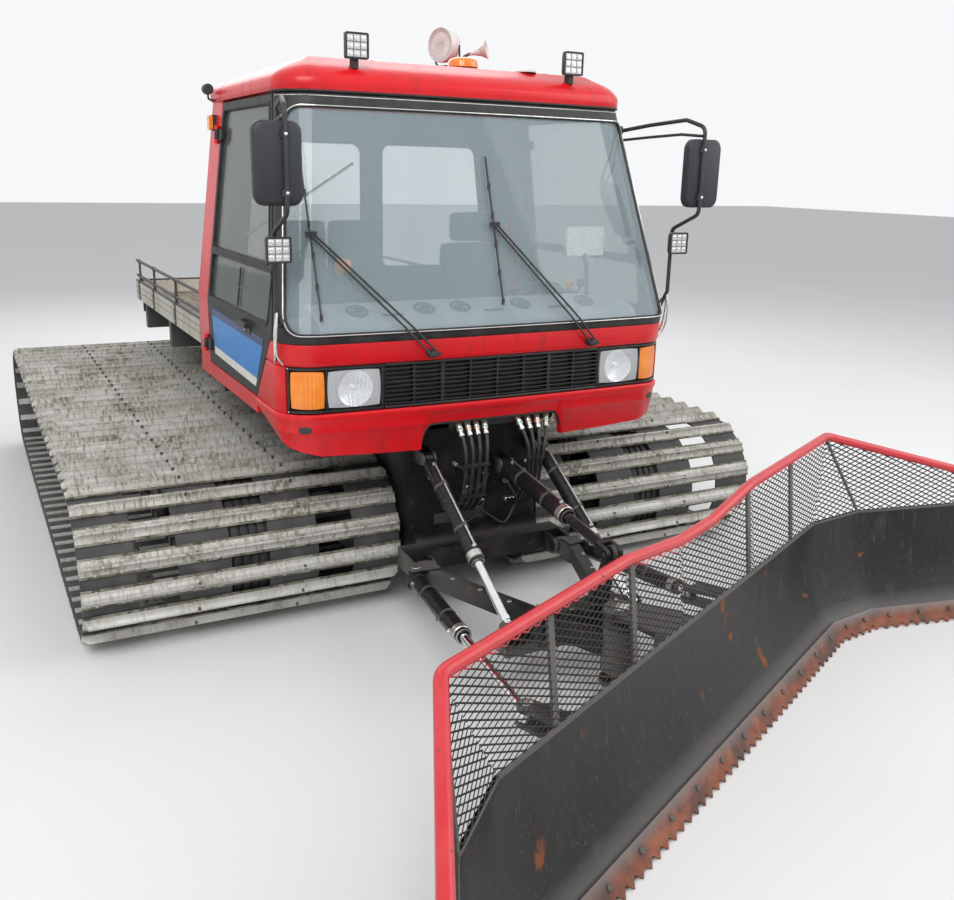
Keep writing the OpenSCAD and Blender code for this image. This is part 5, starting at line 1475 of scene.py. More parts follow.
def build_guard_mesh():
    """The expanded mesh in its nine panels, its posts and its foot bar."""
    s = Shape()
    s.turn = BLADE_TURN
    low_z, drop = LIP_Z + 1, GUARD_R - 4
    edge_t = POST_T - GUARD_R + 4
    c = corner_at(GUARD_Z - drop)
    fold_1 = on_mid(plan(LIP_F)[0].x, low_z)
    fold_2 = on_wing(0, low_z)
    u = [-fold_1.x, -DIP_OUT, -DIP_IN, DIP_IN, DIP_OUT, fold_1.x]
    tops = [on_mid(DIP_IN, DIP_Z - drop), on_mid(DIP_OUT, SHOULDER_Z - drop), c]
    tops = [mirrored(p) for p in reversed(tops)] + tops
    for k in range(5):
        a, b = on_mid(u[k], low_z), on_mid(u[k + 1], low_z)
        expanded_panel(s, [a, b, tops[k + 1], tops[k]], near_rail)
    tip_low, tip_top = on_wing(edge_t, low_z), on_wing(edge_t, GUARD_TIP_Z + 6 - drop)
    for flip in (False, True):
        fold = [fold_1, fold_2, c]
        wing = [fold_2, tip_low, tip_top, c]
        if flip:
            fold = [mirrored(fold_2), mirrored(fold_1), mirrored(c)]
            wing = [mirrored(tip_low), mirrored(fold_2), mirrored(c), mirrored(tip_top)]
        expanded_panel(s, fold)
        expanded_panel(s, wing)
    for side in (-1, 1):
        for u_post in (560, 1120):
            z = GUARD_Z - 6 - GUARD_R
            outline = [(-LIP_F, LIP_Z), (-LIP_F + 10, LIP_Z), (-guard_f_at(z) + 7, z),
                       (-guard_f_at(z) - 4, z)]
            s.plate(outline, "yz", side * u_post - 17, side * u_post + 17, 2)
        post = [fold_2, c] if side > 0 else [mirrored(fold_2), mirrored(c)]
        s.tube([post[0], post[1]], 9, 8, 2)
        foot = [tip_low, tip_top] if side > 0 else [mirrored(tip_low), mirrored(tip_top)]
        s.tube(foot, 7, 8, 2)
    for k in range(5):
        a, b = on_mid(u[k], low_z + 5), on_mid(u[k + 1], low_z + 5)
        s.loft([[p + Vector((0, dy, dz)) for dy, dz in ((-4, -4), (4, -4), (4, 5), (-4, 5))]
                for p in (a, b)], 2)
    s.make("guard_mesh_expanded", "mesh rail_red steel", "mesh_black", "blade", smooth=50,
           replaces=["blade_guard_mesh"])


# Cab fittings

def glass_y(x, z, out=0.0):
    """The skin's front at x and z, moved out by a distance."""
    flat = half_w(z) - CORNER_R
    over = abs(x) - flat
    if over > 0:
        back = CORNER_R - math.sqrt(CORNER_R ** 2 - over ** 2)
    else:
        back = -BULGE * (1 - (x / flat) ** 2)
    return front_y(z) + back - out


# Columns: pivot x, height of the arm's end, blade x
WIPERS = ((-399, 2096, -956), (557, 2137, 21))
WIPER_PIVOT_Z = 1520


def build_wipers():
    """Two wipers, each with a pair of arms and a jointed blade."""
    s = Shape()
    knee_z = SCREEN_Z[0] + 20
    for pivot_x, top_z, blade_x in WIPERS:
        foot = glass_y(pivot_x, WIPER_PIVOT_Z + 22, 0.3)
        s.lathe([(0, 0), (22, 0), (22, 30), (17, 42), (17, 52), (12, 55), (0, 55)],
                (pivot_x, foot, WIPER_PIVOT_Z), AHEAD, 24)
        s.box((pivot_x - 26, foot - 53, WIPER_PIVOT_Z - 9), (pivot_x + 36, foot - 40, WIPER_PIVOT_Z + 9))
        k = (knee_z - WIPER_PIVOT_Z) / (top_z - WIPER_PIVOT_Z)
        for x in (-18, 28):
            knee_x = lerp(pivot_x + x, blade_x + x / 2, k)
            arm = [(pivot_x + x, foot - 46, WIPER_PIVOT_Z), (knee_x, glass_y(knee_x, knee_z, 34), knee_z),
                   (blade_x + x / 2, glass_y(blade_x, top_z, 20), top_z)]
            s.tube(bent(arm, 60), 5.5, 8)
        y = glass_y(blade_x, top_z, 18)
        s.box((blade_x - 28, y - 7, top_z - 14), (blade_x + 28, y + 4, top_z + 14))
        s.bolt((blade_x, y - 7, top_z), AHEAD, 8, 3)
        spine = [(blade_x, glass_y(blade_x, top_z + z, 8), top_z + z) for z in range(-395, 336, 73)]
        s.tube(spine, 4.5, 8)
        for z in range(-380, 330, 142):
            p = Vector((blade_x, glass_y(blade_x, top_z + z, 5), top_z + z))
            s.box(p - Vector((7, 6, 16)), p + Vector((7, 3, 16)))
        lip = [Vector(p) + Vector((0, 7.5, 2)) for p in spine]
        s.loft([[p + Vector((dx, dy, 0)) for dx, dy in ((-3, 0), (3, 0), (1, 3.4), (-1, 3.4))]
                for p in lip])
    s.make("wiper_arms", "plastic", "black_plastic", bevel=0.6, replaces=["wipers"])


MIRROR_X = CAB_HW + 5
MIRROR_ARM_Y = -138.0
ARM_FRONT = -354.0


PUFF = 0.12


def puffed(s, outline, y0, y1):
    """An xz outline between two depths, its edges drawn in round front and back."""
    mid = sum((Vector(p) for p in outline), Vector((0, 0))) / len(outline)
    rings = []
    for t, draw in ((0.0, 1.0), (0.06, 0.45), (0.2, 0), (0.8, 0), (0.95, 0.4), (1.0, 0.8)):
        y, k = lerp(y0, y1, t), 1 - PUFF * draw
        rings.append([(mid.x + (p[0] - mid.x) * k, y, mid.y + (p[1] - mid.y) * k) for p in outline])
    s.loft(rings)


def build_mirrors():
    """Mirrors on their tube arms, with two hanging cables a side."""
    s = Shape()
    for side in (-1, 1):
        x0, x1 = span_x(side, MIRROR_X + 135, MIRROR_X - 80)
        puffed(s, oblong(x0, 2235, x1, 2590, 46, 8), -345, -278)
        s.plate(oblong(x0 + 14, 2250, x1 - 14, 2575, 36, 8), "xz", -279, -276, 1)
        top = skin(side * (RUN + ARC * 0.72), 2640, -16)
        low = skin(side * (RUN + ARC * 0.72), 1690, -16)
        arm = [top, top + Vector((side * 62, -180, 28)), top + Vector((side * 112, -430, 50)),
               (side * MIRROR_X, ARM_FRONT, 2650), (side * MIRROR_X, ARM_FRONT, 2200),
               (side * MIRROR_X, MIRROR_ARM_Y, 2110),
               (side * MIRROR_X, MIRROR_ARM_Y, 1760), low]
        s.tube(bent(arm, 50), 11, 12, 2)
        for z in (2290, 2535):
            s.box((side * MIRROR_X - 20, ARM_FRONT - 4, z - 14), (side * MIRROR_X + 20, -300, z + 14), 2)
            s.bolt((side * MIRROR_X, ARM_FRONT - 12, z), AHEAD, 8, 5, 3)
        for z, p in ((2640, top), (1690, low)):
            s.disc(p + Vector((side * -14, 6, 0)), (side, -0.45, 0), 26, 18, 20, 2, 4)
        second = [top + Vector((0, 6, -52)), top + Vector((side * 64, -180, -36)),
                  top + Vector((side * 108, -400, -24)), (side * (MIRROR_X - 3), ARM_FRONT + 12, 2606)]
        s.tube(bent(second, 50), 8, 10, 2)
        for k in (0, 1):
            stay = [(side * (MIRROR_X - 4), MIRROR_ARM_Y + 4, 1775 - k * 10),
                    (side * (MIRROR_X + 8), -120 - k * 26, 1640),
                    (side * (MIRROR_X + 2), -96 - k * 30, 1540),
                    skin(side * (RUN + ARC * (0.86 - k * 0.2)), 1488, -3)]
            s.tube(spline(stay, 6), 6, 8, 3)
    s.make("mirror_housings", "housing mirror plastic trim", "black_plastic",
           smooth=50, replaces=["side_mirrors"])


def led_lamp(s, centre, size, depth):
    """A square work lamp with nine cells; centre is the middle of its front edge plane."""
    x, y, z = centre
    h = size / 2
    s.loft([[(x + a * k, yy, z + b * k) for a, b in oblong(-h, -h, h, h, 9, 3)]
            for yy, k in ((y + 4, 1.0), (y + depth * 0.45, 1.0), (y + depth, 0.72))])
    s.ring_plate([(x + a, z + b) for a, b in oblong(-h, -h, h, h, 9, 3)],
                 [(x + a, z + b) for a, b in oblong(-h + 7, -h + 7, h - 7, h - 7, 5, 3)],
                 "xz", y, y + 6, 1)
    cell = (size - 16) / 3
    half = cell / 2 - 1.5
    for i in (-1, 0, 1):
        for j in (-1, 0, 1):
            c = (x + i * cell, y + 6, z + j * cell)
            s.box((c[0] - half, y + 3.4, c[2] - half), (c[0] + half, y + 6, c[2] + half), 2)
            s.lathe([(0, 0), (cell * 0.38, 0), (cell * 0.3, 3.2), (0, 4.4)], c, AHEAD, 12, 3)
    for k in range(5):
        zz = z - h * 0.6 + k * h * 0.3
        s.box((x - h * 0.66, y + depth * 0.6, zz - 2), (x + h * 0.66, y + depth - 1, zz + 2))


SEARCHLIGHT = Vector((284, 1020, ROOF_TOP + 190))
SEARCHLIGHT_TURN = math.radians(-68)
ROOF_LAMP_X = 624
HORN = (392, 1050)


def build_roof_lamps():
    """Square work lamps on the roof and the mirror arms, the searchlight and the horn."""
    s = Shape()
    for side in (-1, 1):
        x = side * ROOF_LAMP_X
        led_lamp(s, (x, 141, 2970), 121, 57)
        s.box((x - 15, 168, 2904), (x + 15, 210, 2916))
        s.box((x - 15, 166, 2868), (x + 15, 212, 2910))
        s.bolt((x, 189, 2916), UP, 7, 5)
        led_lamp(s, (side * MIRROR_X, -214, 2035), 119, 52)
        s.box((side * MIRROR_X - 10, -166, 2016), (side * MIRROR_X + 10, -151, 2044))
    s.turn = Matrix.Translation(SEARCHLIGHT) @ Matrix.Rotation(SEARCHLIGHT_TURN, 4, "Z")
    s.lathe([(0, -58), (52, -52), (84, -30), (96, 4), (99, 40), (99, 58), (92, 60), (90, 54), (0, 46)],
            (0, 0, 0), AHEAD, 40, 4)
    s.lathe([(0, 47), (60, 50), (90, 57), (90, 53), (0, 44)], (0, 0, 0), AHEAD, 40, 2)
    s.tube(bent([(-92, 10, 0), (-98, 10, -112), (98, 10, -112), (92, 10, 0)], 40), 6, 8)
    s.turn = Matrix()
    s.lathe([(0, 0), (46, 0), (46, 8), (20, 14), (18, 74), (0, 74)],
            (SEARCHLIGHT.x, SEARCHLIGHT.y, ROOF_TOP), UP, 28)
    horn = [(*HORN, ROOF_TOP + 6), (*HORN, ROOF_TOP + 90), (400, 1040, ROOF_TOP + 130),
            (440, 1005, ROOF_TOP + 158)]
    s.tube(spline(horn, 5), 9, 8, 5)
    s.lathe([(8, 0), (14, 34), (28, 74), (52, 112), (58, 116), (50, 108), (0, 30)],
            (430, 1015, ROOF_TOP + 152), (0.75, -0.62, 0.22), 32, 4)
    s.disc((*HORN, ROOF_TOP), UP, 26, 8, 20, 5, 2)
    s.make("roof_lamps_and_horn", "plastic plastic led reflector white rust",
           "lamp_housing", smooth=40, bevel=0.8, replaces=["roof_lamps"])


def build_roof_caps():
    """Small vents, and the lamp and marker on the cab's right rear corner."""
    s = Shape()
    for x, y, w in ((430, 330, 60), (740, 520, 42), (-430, 460, 50)):
        dome = [(w, 0), (w, 6), (w * 0.86, 15), (w * 0.5, 20), (0, 22)]
        s.lathe(dome, (x, y, ROOF_TOP), UP, 28)
    s.tube(bent([(-1000, 1440, 2760), (-1048, 1440, 2766), (-1048, 1440, 2800)], 14), 6, 8, 1)
    s.disc((-1048, 1470, 2822), AHEAD, 30, 52, 20, 1, 6)
    s.make("roof_vents", "white plastic", "red_paint", smooth=40)


# Columns: first x of four couplers, their pitch, first x of the hoses below and their pitch
HOSE_TABLE = ((-195, 52, -185, 40), (165, 62, 203, 26))
# Columns: both ends of a hose in front of the hull (x, z), its sag and how far it stands out
LOOPS = (((-280, 780), (-60, 700), 120, 62), ((-220, 660), (40, 610), 90, 74),
         ((-130, 840), (60, 760), 70, 60), ((20, 560), (300, 640), 80, 70),
         ((190, 700), (330, 800), 110, 60))
# The marks of each coupler's two coloured rings
COUPLER_RINGS = ((3, 4), (4, 3), (3, 3), (4, 4), (3, 4), (3, 3), (4, 5), (5, 4))
COUPLER_BODY = [(0, 0), (17, 0), (17, 22), (14, 24), (14, 30), (16.6, 31), (16.6, 58), (12, 60),
                (12, 70), (15, 71), (15, 86), (10, 90), (0, 90)]
COUPLER_LEN = 88
# Clamps over the hanging hoses: (height, y), and the x each bank's clamp spans
CLAMP_AT = ((900, -247), (720, -217))
CLAMP_X = ((-205, -45), (185, 300))


def build_hoses():
    """Eight hoses that hang from couplers under the cab, and five loops in front of the hull."""
    s = Shape()
    s.plate(oblong(-240, 1086, 400, CAB_LOW - 1, 16), "xz", -145, -123, 0)
    for x in (-228, -10, 130, 388):
        s.bolt((x, -145, 1146), AHEAD, 8, 5, 2)
    n = 0
    for x0, step, u0, pitch in HOSE_TABLE:
        for k in range(4):
            x, u = x0 + k * step, u0 + k * pitch
            end = Vector((x, -150, 1124))
            way = Vector(((u - x) * 0.35, -52, -74)).normalized()
            s.lathe([(0, 0), (12, 0), (12, 12), (0, 12)], end + Vector((0, 8, 6)), way, 16, 0)
            s.lathe(COUPLER_BODY, end, way, 20, 2)
            for j, mark in enumerate(COUPLER_RINGS[n]):
                h = 9 + j * 34
                s.lathe([(15.5, h), (17.6, h + 1), (17.6, h + 8), (15.5, h + 9)], end, way, 20, mark)
            tip = end + way * COUPLER_LEN
            path = spline([tip, tip + way * 26, (lerp(tip.x, u, 0.7), -240, 960), (u, -236, 860),
                           (u, -205, 720), (u, -110, 610), (u, 6, 590)], 7)
            s.tube(path, 10, 12, 1)
            s.disc((u, 9, 590), AHEAD, 15, 26, 16, 2, 3)
            n += 1
    for (x0, z0), (x1, z1), drop, out in LOOPS:
        mid = ((x0 + x1) / 2, -out, min(z0, z1) - drop)
        path = spline([(x0, 2, z0), (x0, -26, z0), (lerp(x0, x1, 0.2), -out * 0.8, z0 - drop * 0.5),
                       mid, (lerp(x0, x1, 0.82), -out * 0.8, z1 - drop * 0.4), (x1, -26, z1),
                       (x1, 2, z1)], 7)
        s.tube(path, 8, 10, 1)
        for x, z in ((x0, z0), (x1, z1)):
            s.disc((x, 9, z), AHEAD, 14, 14, 6, 2, 2)
            s.disc((x, -2, z), AHEAD, 11, 26, 16, 2, 2)
    for z, y in CLAMP_AT:
        for x0, x1 in CLAMP_X:
            s.box((x0, y - 3, z - 9), (x1, y + 12, z + 9), 1)
    s.make("hoses_and_couplers", "plastic hose coupler copper green orange",
           "hose_rubber", smooth=40, replaces=["hydraulic_hoses"])


# Inside the cab

CUSHION_SWELL = 18.0
CUSHION_CELLS = 10


def cushion(s, low, high):
    """A padded block: a box with full round edges and a soft crown."""
    lo, hi = Vector(low), Vector(high)
    n = CUSHION_CELLS
    mid, half = (lo + hi) / 2, (hi - lo) / 2
    r = min(46.0, min(half) * 0.7)
    points, faces = [], []
    for axis in range(3):
        for way in (-1, 1):
            base = len(points)
            for j in range(n + 1):
                for i in range(n + 1):
                    p = [0.0, 0.0, 0.0]
                    p[axis], p[(axis + 1) % 3], p[(axis + 2) % 3] = way, 2 * i / n - 1, 2 * j / n - 1
                    q = Vector([p[k] * half[k] for k in range(3)])
                    core = Vector([max(-half[k] + r, min(half[k] - r, q[k])) for k in range(3)])
                    d = q - core
                    if d.length > 1e-6:
                        q = core + d.normalized() * r
                    crown = (1 - p[(axis + 1) % 3] ** 2) * (1 - p[(axis + 2) % 3] ** 2)
                    dent = CUSHION_SWELL * (0.25 - 0.25 * crown)
                    q[axis] -= way * dent * (0.3 + 0.7 * abs(p[axis]))
                    points.append(mid + q)
            for j in range(n):
                for i in range(n):
                    a = base + j * (n + 1) + i
                    faces.append((a, a + 1, a + n + 2, a + n + 1))
    s.add(points, faces)


def build_seats():
    """The driver's seat and the bench for two, with their bases."""
    soft = Shape()
    cushion(soft, (262, 562, 1422), (738, 1060, 1538))
    cushion(soft, (284, 1014, 1542), (716, 1116, 1960))
    cushion(soft, (350, 1018, 1966), (650, 1112, 2148))
    for x in (-818, -458):
        cushion(soft, (x, 662, 1422), (x + 356, 1120, 1528))
        cushion(soft, (x + 6, 1062, 1532), (x + 350, 1158, 2098))
    pad = soft.make("seat_cushions", "fabric", "seat_fabric", smooth=80, replaces=["cab_seats"])
    hard = Shape()
    for low, high in (((300, 604, 1200), (700, 1000, 1240)), ((330, 640, 1240), (670, 960, 1424)),
                      ((-800, 704, 1200), (-120, 1118, 1424))):
        hard.plate(oblong(low[0], low[1], high[0], high[1], 30), "xy", low[2], high[2])
    for x in (420, 580):
        hard.tube([(x, 1066, 1950), (x, 1066, 1985)], 7, 8, 1)
    hard.make("seat_bases", "plastic trim", "seat_fabric", bevel=4)


# The steering wheel's middle and axis
WHEEL_P = Vector((500, 330, 1700))
WHEEL_AXIS = Vector((0, 0.5, 0.866025))


# The dash's side and its cowl's, as (y, z)
DASH_SIDE = [(-100, 1200), (60, 1200), (88, 1330), (110, 1420), (108, 1480), (90, 1556), (60, 1572),
             (-40, 1588), (-150, 1599), (-150, 1240)]
COWL_SIDE = [(-140, 1596), (-134, 1646), (-112, 1668), (64, 1738), (100, 1738), (126, 1712),
             (128, 1560), (40, 1560)]
COWL_UP = Vector((0, -0.37, 0.929))
VENT = [(56, -2), (60, 5), (54, 9), (44, 8), (40, -1), (34, -1), (32, 6), (28, 6), (26, -1), (20, -1),
        (18, 6), (12, 7), (0, 7)]
CONSOLE_X = (CAB_HW - 385, CAB_HW - 165)


def build_dashboard():
    """Dash, cowl with vents, side console with levers and buttons, monitor and knob."""
    s = Shape()
    w = CONSOLE_X[1]
    s.plate(DASH_SIDE, "yz", -w, w)
    s.plate(oblong(CONSOLE_X[0], 300, w, 1000, 50, 8), "xy", 1200, 1560)
    s.plate(oblong(CONSOLE_X[0] + 5, 306, w - 5, 990, 46, 8), "xy", 1560, 1600, 1)
    s.lathe([(0, -420), (30, -420), (30, -60), (24, -42), (0, -42)], WHEEL_P, WHEEL_AXIS, 28, 1)
    s.plate(COWL_SIDE, "yz", -w + 40, w - 40)
    for x in (-700, -330, -120, 250, 660):
        s.lathe(VENT, (x, -10, 1709), COWL_UP, 36, 1)
    for x in (-520, 60, 460):
        s.plate(oblong(x - 60, -70, x + 60, -40, 12), "xy", 1690, 1696, 1)
    for x in (410, 500, 590):
        s.disc((x, 128, 1655), (0, 1, 0), 34, 5, 28, 1, 2)
    s.plate(oblong(600, 1950, 850, 2110, 14), "xz", 92, 122, 4)
    s.plate(oblong(612, 1962, 838, 2098, 8), "xz", 122, 124, 2)
    s.tube(bent([(725, 60, 1730), (725, 70, 1880), (725, 104, 1960)], 40), 14, 12, 1)
    s.tube(bent([(-640, 100, 1725), (-640, 200, 1830), (-640, 320, 1872)], 40), 9, 10, 1)
    s.lathe([(0, -46), (30, -38), (46, -14), (48, 8), (36, 34), (0, 46)], (-640, 340, 1900),
            (0, -0.2, 1), 28, 3)
    s.tube([(-880, 1385, 1990), (-180, 1385, 2430)], 10, 10, 4)
    for k, x in enumerate((CAB_HW - 330, CAB_HW - 250)):
        s.tube(bent([(x, 420, 1600), (x, 400, 1690), (x, 380, 1740)], 30), 8, 10, 1)
        s.lathe([(0, -26), (18, -22), (26, 0), (20, 22), (0, 28)], (x, 376, 1760), (0, -0.3, 1), 24,
                3 if k == 0 else 1)
    for i in range(4):
        for j in range(3):
            x, y = CAB_HW - 350 + i * 42, 560 + j * 60
            s.plate(oblong(x, y, x + 30, y + 42, 5), "xy", 1600, 1608, 4 if (i + j) % 4 == 0 else 1)
    s.make("dash_and_console", "dash plastic screen orange trim", "dash_grey",
           smooth=40, bevel=2.0, replaces=["dashboard"])


WHEEL_R = 190


def build_steering_wheel():
    """Rim, hub, shaft and three spokes."""
    s = Shape()
    u = Vector(LEFT)
    v = WHEEL_AXIS.cross(u)
    angles = [2 * math.pi * k / 64 for k in range(64)]
    rim = [WHEEL_P + (math.cos(a) * u + math.sin(a) * v) * WHEEL_R for a in angles]
    s.tube(rim, 13.6, 12, 0, loop=True)
    s.lathe([(0, -15), (34, -15), (40, -8), (40, 8), (30, 15), (0, 15)], WHEEL_P, WHEEL_AXIS, 32)
    s.lathe([(0, -238), (11.6, -238), (11.6, -10), (0, -10)], WHEEL_P, WHEEL_AXIS, 20, 1)
    for k in range(3):
        a = 2 * math.pi * k / 3
        d = math.cos(a) * u + math.sin(a) * v
        e = WHEEL_AXIS.cross(d)
        rings = []
        for r, wide in ((30, 12), (90, 9), (184, 11)):
            c = WHEEL_P + d * r
            rings.append([c + e * wide + WHEEL_AXIS * 4, c - e * wide + WHEEL_AXIS * 4,
                          c - e * wide - WHEEL_AXIS * 4, c + e * wide - WHEEL_AXIS * 4])
        s.loft(rings)
    s.make("wheel_rim_and_spokes", "plastic trim", "black_plastic", "steering_wheel", smooth=50,
           replaces=["steering_wheel"])


def build_lining():
    """Grey lining of the rear wall, the sides and the roof; rubbers round the rear windows."""
    s = Shape()
    rubber = Shape()
    for side in (-1, 1):
        pane = rounded([(side * x, z) for x, z in ((856, 1764), (64, 1764), (64, 2556), (757, 2556))], 66)
        wall = rounded([(side * x, z) for x, z in ((1090, 1210), (1, 1210), (1, 2740), (948, 2740))], 6)
        s.ring_plate(wall, pane, "xz", CAB_REAR - 47, CAB_REAR - 42)
        inner = rounded([(side * x, z) for x, z in ((846, 1774), (74, 1774), (74, 2546), (748, 2546))], 58)
        outer = rounded([(side * x, z) for x, z in ((876, 1744), (44, 1744), (44, 2576), (775, 2576))], 80)
        rubber.ring_plate(outer, inner, "xz", CAB_REAR - 1, CAB_REAR + 7)
        rings = []
        for z in (1205, BELT_Z, ROOF_Z - 8):
            x = side * (half_w(z) - 47)
            rings.append([(x, 1306, z), (x, 1490, z), (x - side * 5, 1490, z), (x - side * 5, 1306, z)])
        s.loft(rings)
    top = roof_ring(ROOF_TOP - 40, 206)
    s.loft([[(p[0], p[1], z) for p in top] for z in (ROOF_TOP - 38, ROOF_TOP - 31)])
    lined = s.make("cab_lining", "lining", "red_paint", smooth=40)
    cut_hatch(lined, ROOF_TOP - 60, ROOF_TOP - 20)
    for z in (1290, 1400):
        rubber.box((-700, CAB_REAR, z), (700, CAB_REAR + 5, z + 60), 0)
    rubber.make("rear_window_rubbers", "rubber", "rubber_trim", bevel=1.5)


# Doors

def side_pt(side, y, z, d):
    """A point on the cab's side, d inside its skin."""
    return Vector((side * (half_w(z) - d), y, z))


def side_ring(s, side, outer, inner, d0, d1):
    """A flat frame on the cab's side between two outlines of (y, z)."""
    s.loft([[side_pt(side, *o, d0), side_pt(side, *i, d0), side_pt(side, *i, d1), side_pt(side, *o, d1)]
            for o, i in zip(outer, inner)], loop=True)


def grown(corners, by, radius):
    """The rounded outline of corners, each moved out from their middle by a length."""
    cy = sum(c[0] for c in corners) / len(corners)
    cz = sum(c[1] for c in corners) / len(corners)
    moved = [(y + math.copysign(by, y - cy), z + math.copysign(by, z - cz)) for y, z in corners]
    return rounded(moved, radius)


# Corners of the door's windows and of its coloured panel, as (y, z)
LOW_PANE = ((1247, 1660), (60, 1660), (60, 1900), (1247, 1900))
TOP_PANE = ((1247, 1945), (front_y(1945) + 246, 1945), (front_y(2695) + 246, 2695), (1247, 2695))
PANEL = ((1200, 1592), (110, 1578), (294, 1303), (1162, 1326))


# The panel's stripes: (from, to) as shares of its height, and the mark
STRIPES = (((0.0, 0.17), 3), ((0.17, 0.84), 1), ((0.84, 1.0), 2))
HINGE_Z = (1370, 2570)


def panel_band(v0, v1):
    """A strip of the door's panel between two shares of its height."""
    rear_low, front_low = Vector(PANEL[3]), Vector(PANEL[2])
    rear_top, front_top = Vector(PANEL[0]), Vector(PANEL[1])
    return [lerp(rear_low, rear_top, v0), lerp(front_low, front_top, v0), lerp(front_low, front_top, v1),
            lerp(rear_low, rear_top, v1)]


def build_door_trim(side):
    """Window rubbers, coloured stripes, handle, hinge bolts and inner panel of one door."""
    s = Shape()
    body = "door_left" if side > 0 else "door_right"
    for pane in (LOW_PANE, TOP_PANE):
        side_ring(s, side, grown(pane, 15, 40), grown(pane, -5, 26), -4, 3)
        side_ring(s, side, grown(pane, 13, 40), grown(pane, -6, 26), 42, 46)
    face = span_x(side, CAB_HW - 1, CAB_HW + 2)
    for (v0, v1), mark in STRIPES:
        s.plate([(p.x, p.y) for p in panel_band(v0, v1)], "yz", *face, mark)
    for z in (LOW_PANE[0][1] + 12, LOW_PANE[0][1] + 118):
        a, b = side_pt(side, 640, z, 6), side_pt(side, 640, z + 100, 6)
        s.tube([a, b], 5, 8)
    outer = span_x(side, CAB_HW + 25, CAB_HW + 39)
    s.plate(oblong(326, 1597, 492, 1629, 12), "yz", *outer, 4)
    x0, x1 = span_x(side, CAB_HW, CAB_HW + 5)
    s.plate(oblong(345, 1560, 470, 1596, 12), "yz", x0, x1, 4)
    s.disc((side * (CAB_HW + 4), 452, 1578), (side, 0, 0), 9, 4, 16, 5, 1)
    for z in HINGE_Z:
        for dz in (-16, 16):
            s.bolt(side_pt(side, 1255, z + dz, -4), (side, 0, 0), 6, 4, 5)
    inner = span_x(side, CAB_HW - 46, CAB_HW - 58)
    s.plate(rounded([(1230, 1290), (330, 1290), (120, 1600), (1230, 1600)], 50), "yz", *inner, 6)
    s.make(body + "_trim", "rubber blue navy white plastic trim dash", "door_black", body,
           smooth=40, bevel=0.8)


# Platform and rear

DECK_HW = 1102.0
DECK = (1640.0, 4150.0)
DECK_Z = 1290.0
BOARD_TOP = 1450.0
RAIL_Z = 1612.0
LOW_RAIL_Z = BOARD_TOP + 40
RAIL_R = 12.6
PLANKS = 13
PLANK_EDGE = 32
PLANK_SCREW_Y = (1900, 2700, 3500, 4060)
STAKE_Y = (1700, 2540, 3360, 4000)


def build_platform():
    """Deck planks, side boards with their stakes, and the rails."""
    s = Shape()
    wide = 2 * (DECK_HW - PLANK_EDGE) / PLANKS
    for k in range(PLANKS):
        x = -DECK_HW + PLANK_EDGE + k * wide
        s.box((x + 3, DECK[0] + 6, DECK_Z + 39), (x + wide - 3, DECK[1] - 34, DECK_Z + 46), 1)
        for y in PLANK_SCREW_Y:
            s.bolt((x + wide / 2, y, DECK_Z + 46), UP, 9, 3, 2)
    for side in (-1, 1):
        x0, x1 = span_x(side, DECK_HW, DECK_HW - 36)
        for y in STAKE_Y:
            s.box((x0 - (side < 0) * 5, y - 30, DECK_Z + 4),
                  (x1 + (side > 0) * 5, y + 30, BOARD_TOP + 2), 3)
            for z in (1320, 1420):
                s.bolt((side * (DECK_HW + 5), y, z), (side, 0, 0), 9, 5, 2)
        s.box((x0 - 1, DECK[0], BOARD_TOP - 10), (x1 + 1, DECK[1], BOARD_TOP + 2), 3)
        for z in (1352, 1398):
            s.box((x0 - 1.6, DECK[0] + 4, z), (x1 + 1.6, DECK[1] - 4, z + 3), 3)
    s.box((-DECK_HW + 40, DECK[1] - 31, BOARD_TOP - 10),
          (DECK_HW - 40, DECK[1] + 1, BOARD_TOP + 2), 3)
    for x in (-800, -400, 0, 400, 800):
        s.box((x - 24, DECK[1] - 4, DECK_Z + 44), (x + 24, DECK[1] + 3, BOARD_TOP - 6), 3)
    s.make("deck_boards", "cream board trim steel", "platform_cream", "platform", bevel=1.2)
    r = Shape()
    for side in (-1, 1):
        x = side * (DECK_HW - 15)
        for z in (RAIL_Z, LOW_RAIL_Z):
            ends = (DECK[0] + 20, DECK[1] - 40)
            r.tube([(x, y, z) for y in ends], RAIL_R, 16)
            for y, way in zip(ends, (-1, 1)):
                r.disc((x, y, z), (0, way, 0), RAIL_R, 2, 16)
        for y in STAKE_Y:
            r.box((x - 8, y - 8, BOARD_TOP), (x + 8, y + 8, RAIL_Z - 2))
            r.box((x - 14, y - 16, BOARD_TOP + 1), (x + 14, y + 16, BOARD_TOP + 7))
            for z in (RAIL_Z, LOW_RAIL_Z):
                r.lathe([(13, -14), (16, -14), (16, 14), (13, 14)], (x, y, z), (0, 1, 0), 16)
    r.make("rails_and_stakes", "steel", "black_steel", "platform", smooth=40, bevel=1,
           replaces=["platform_rail"])


# Flat ribs on the hull's sides: their count, first y, pitch, and how far out they reach
HULL_RIBS = 7
RIB_Y = 500
RIB_STEP = 560
RIB_X = (400, 412)


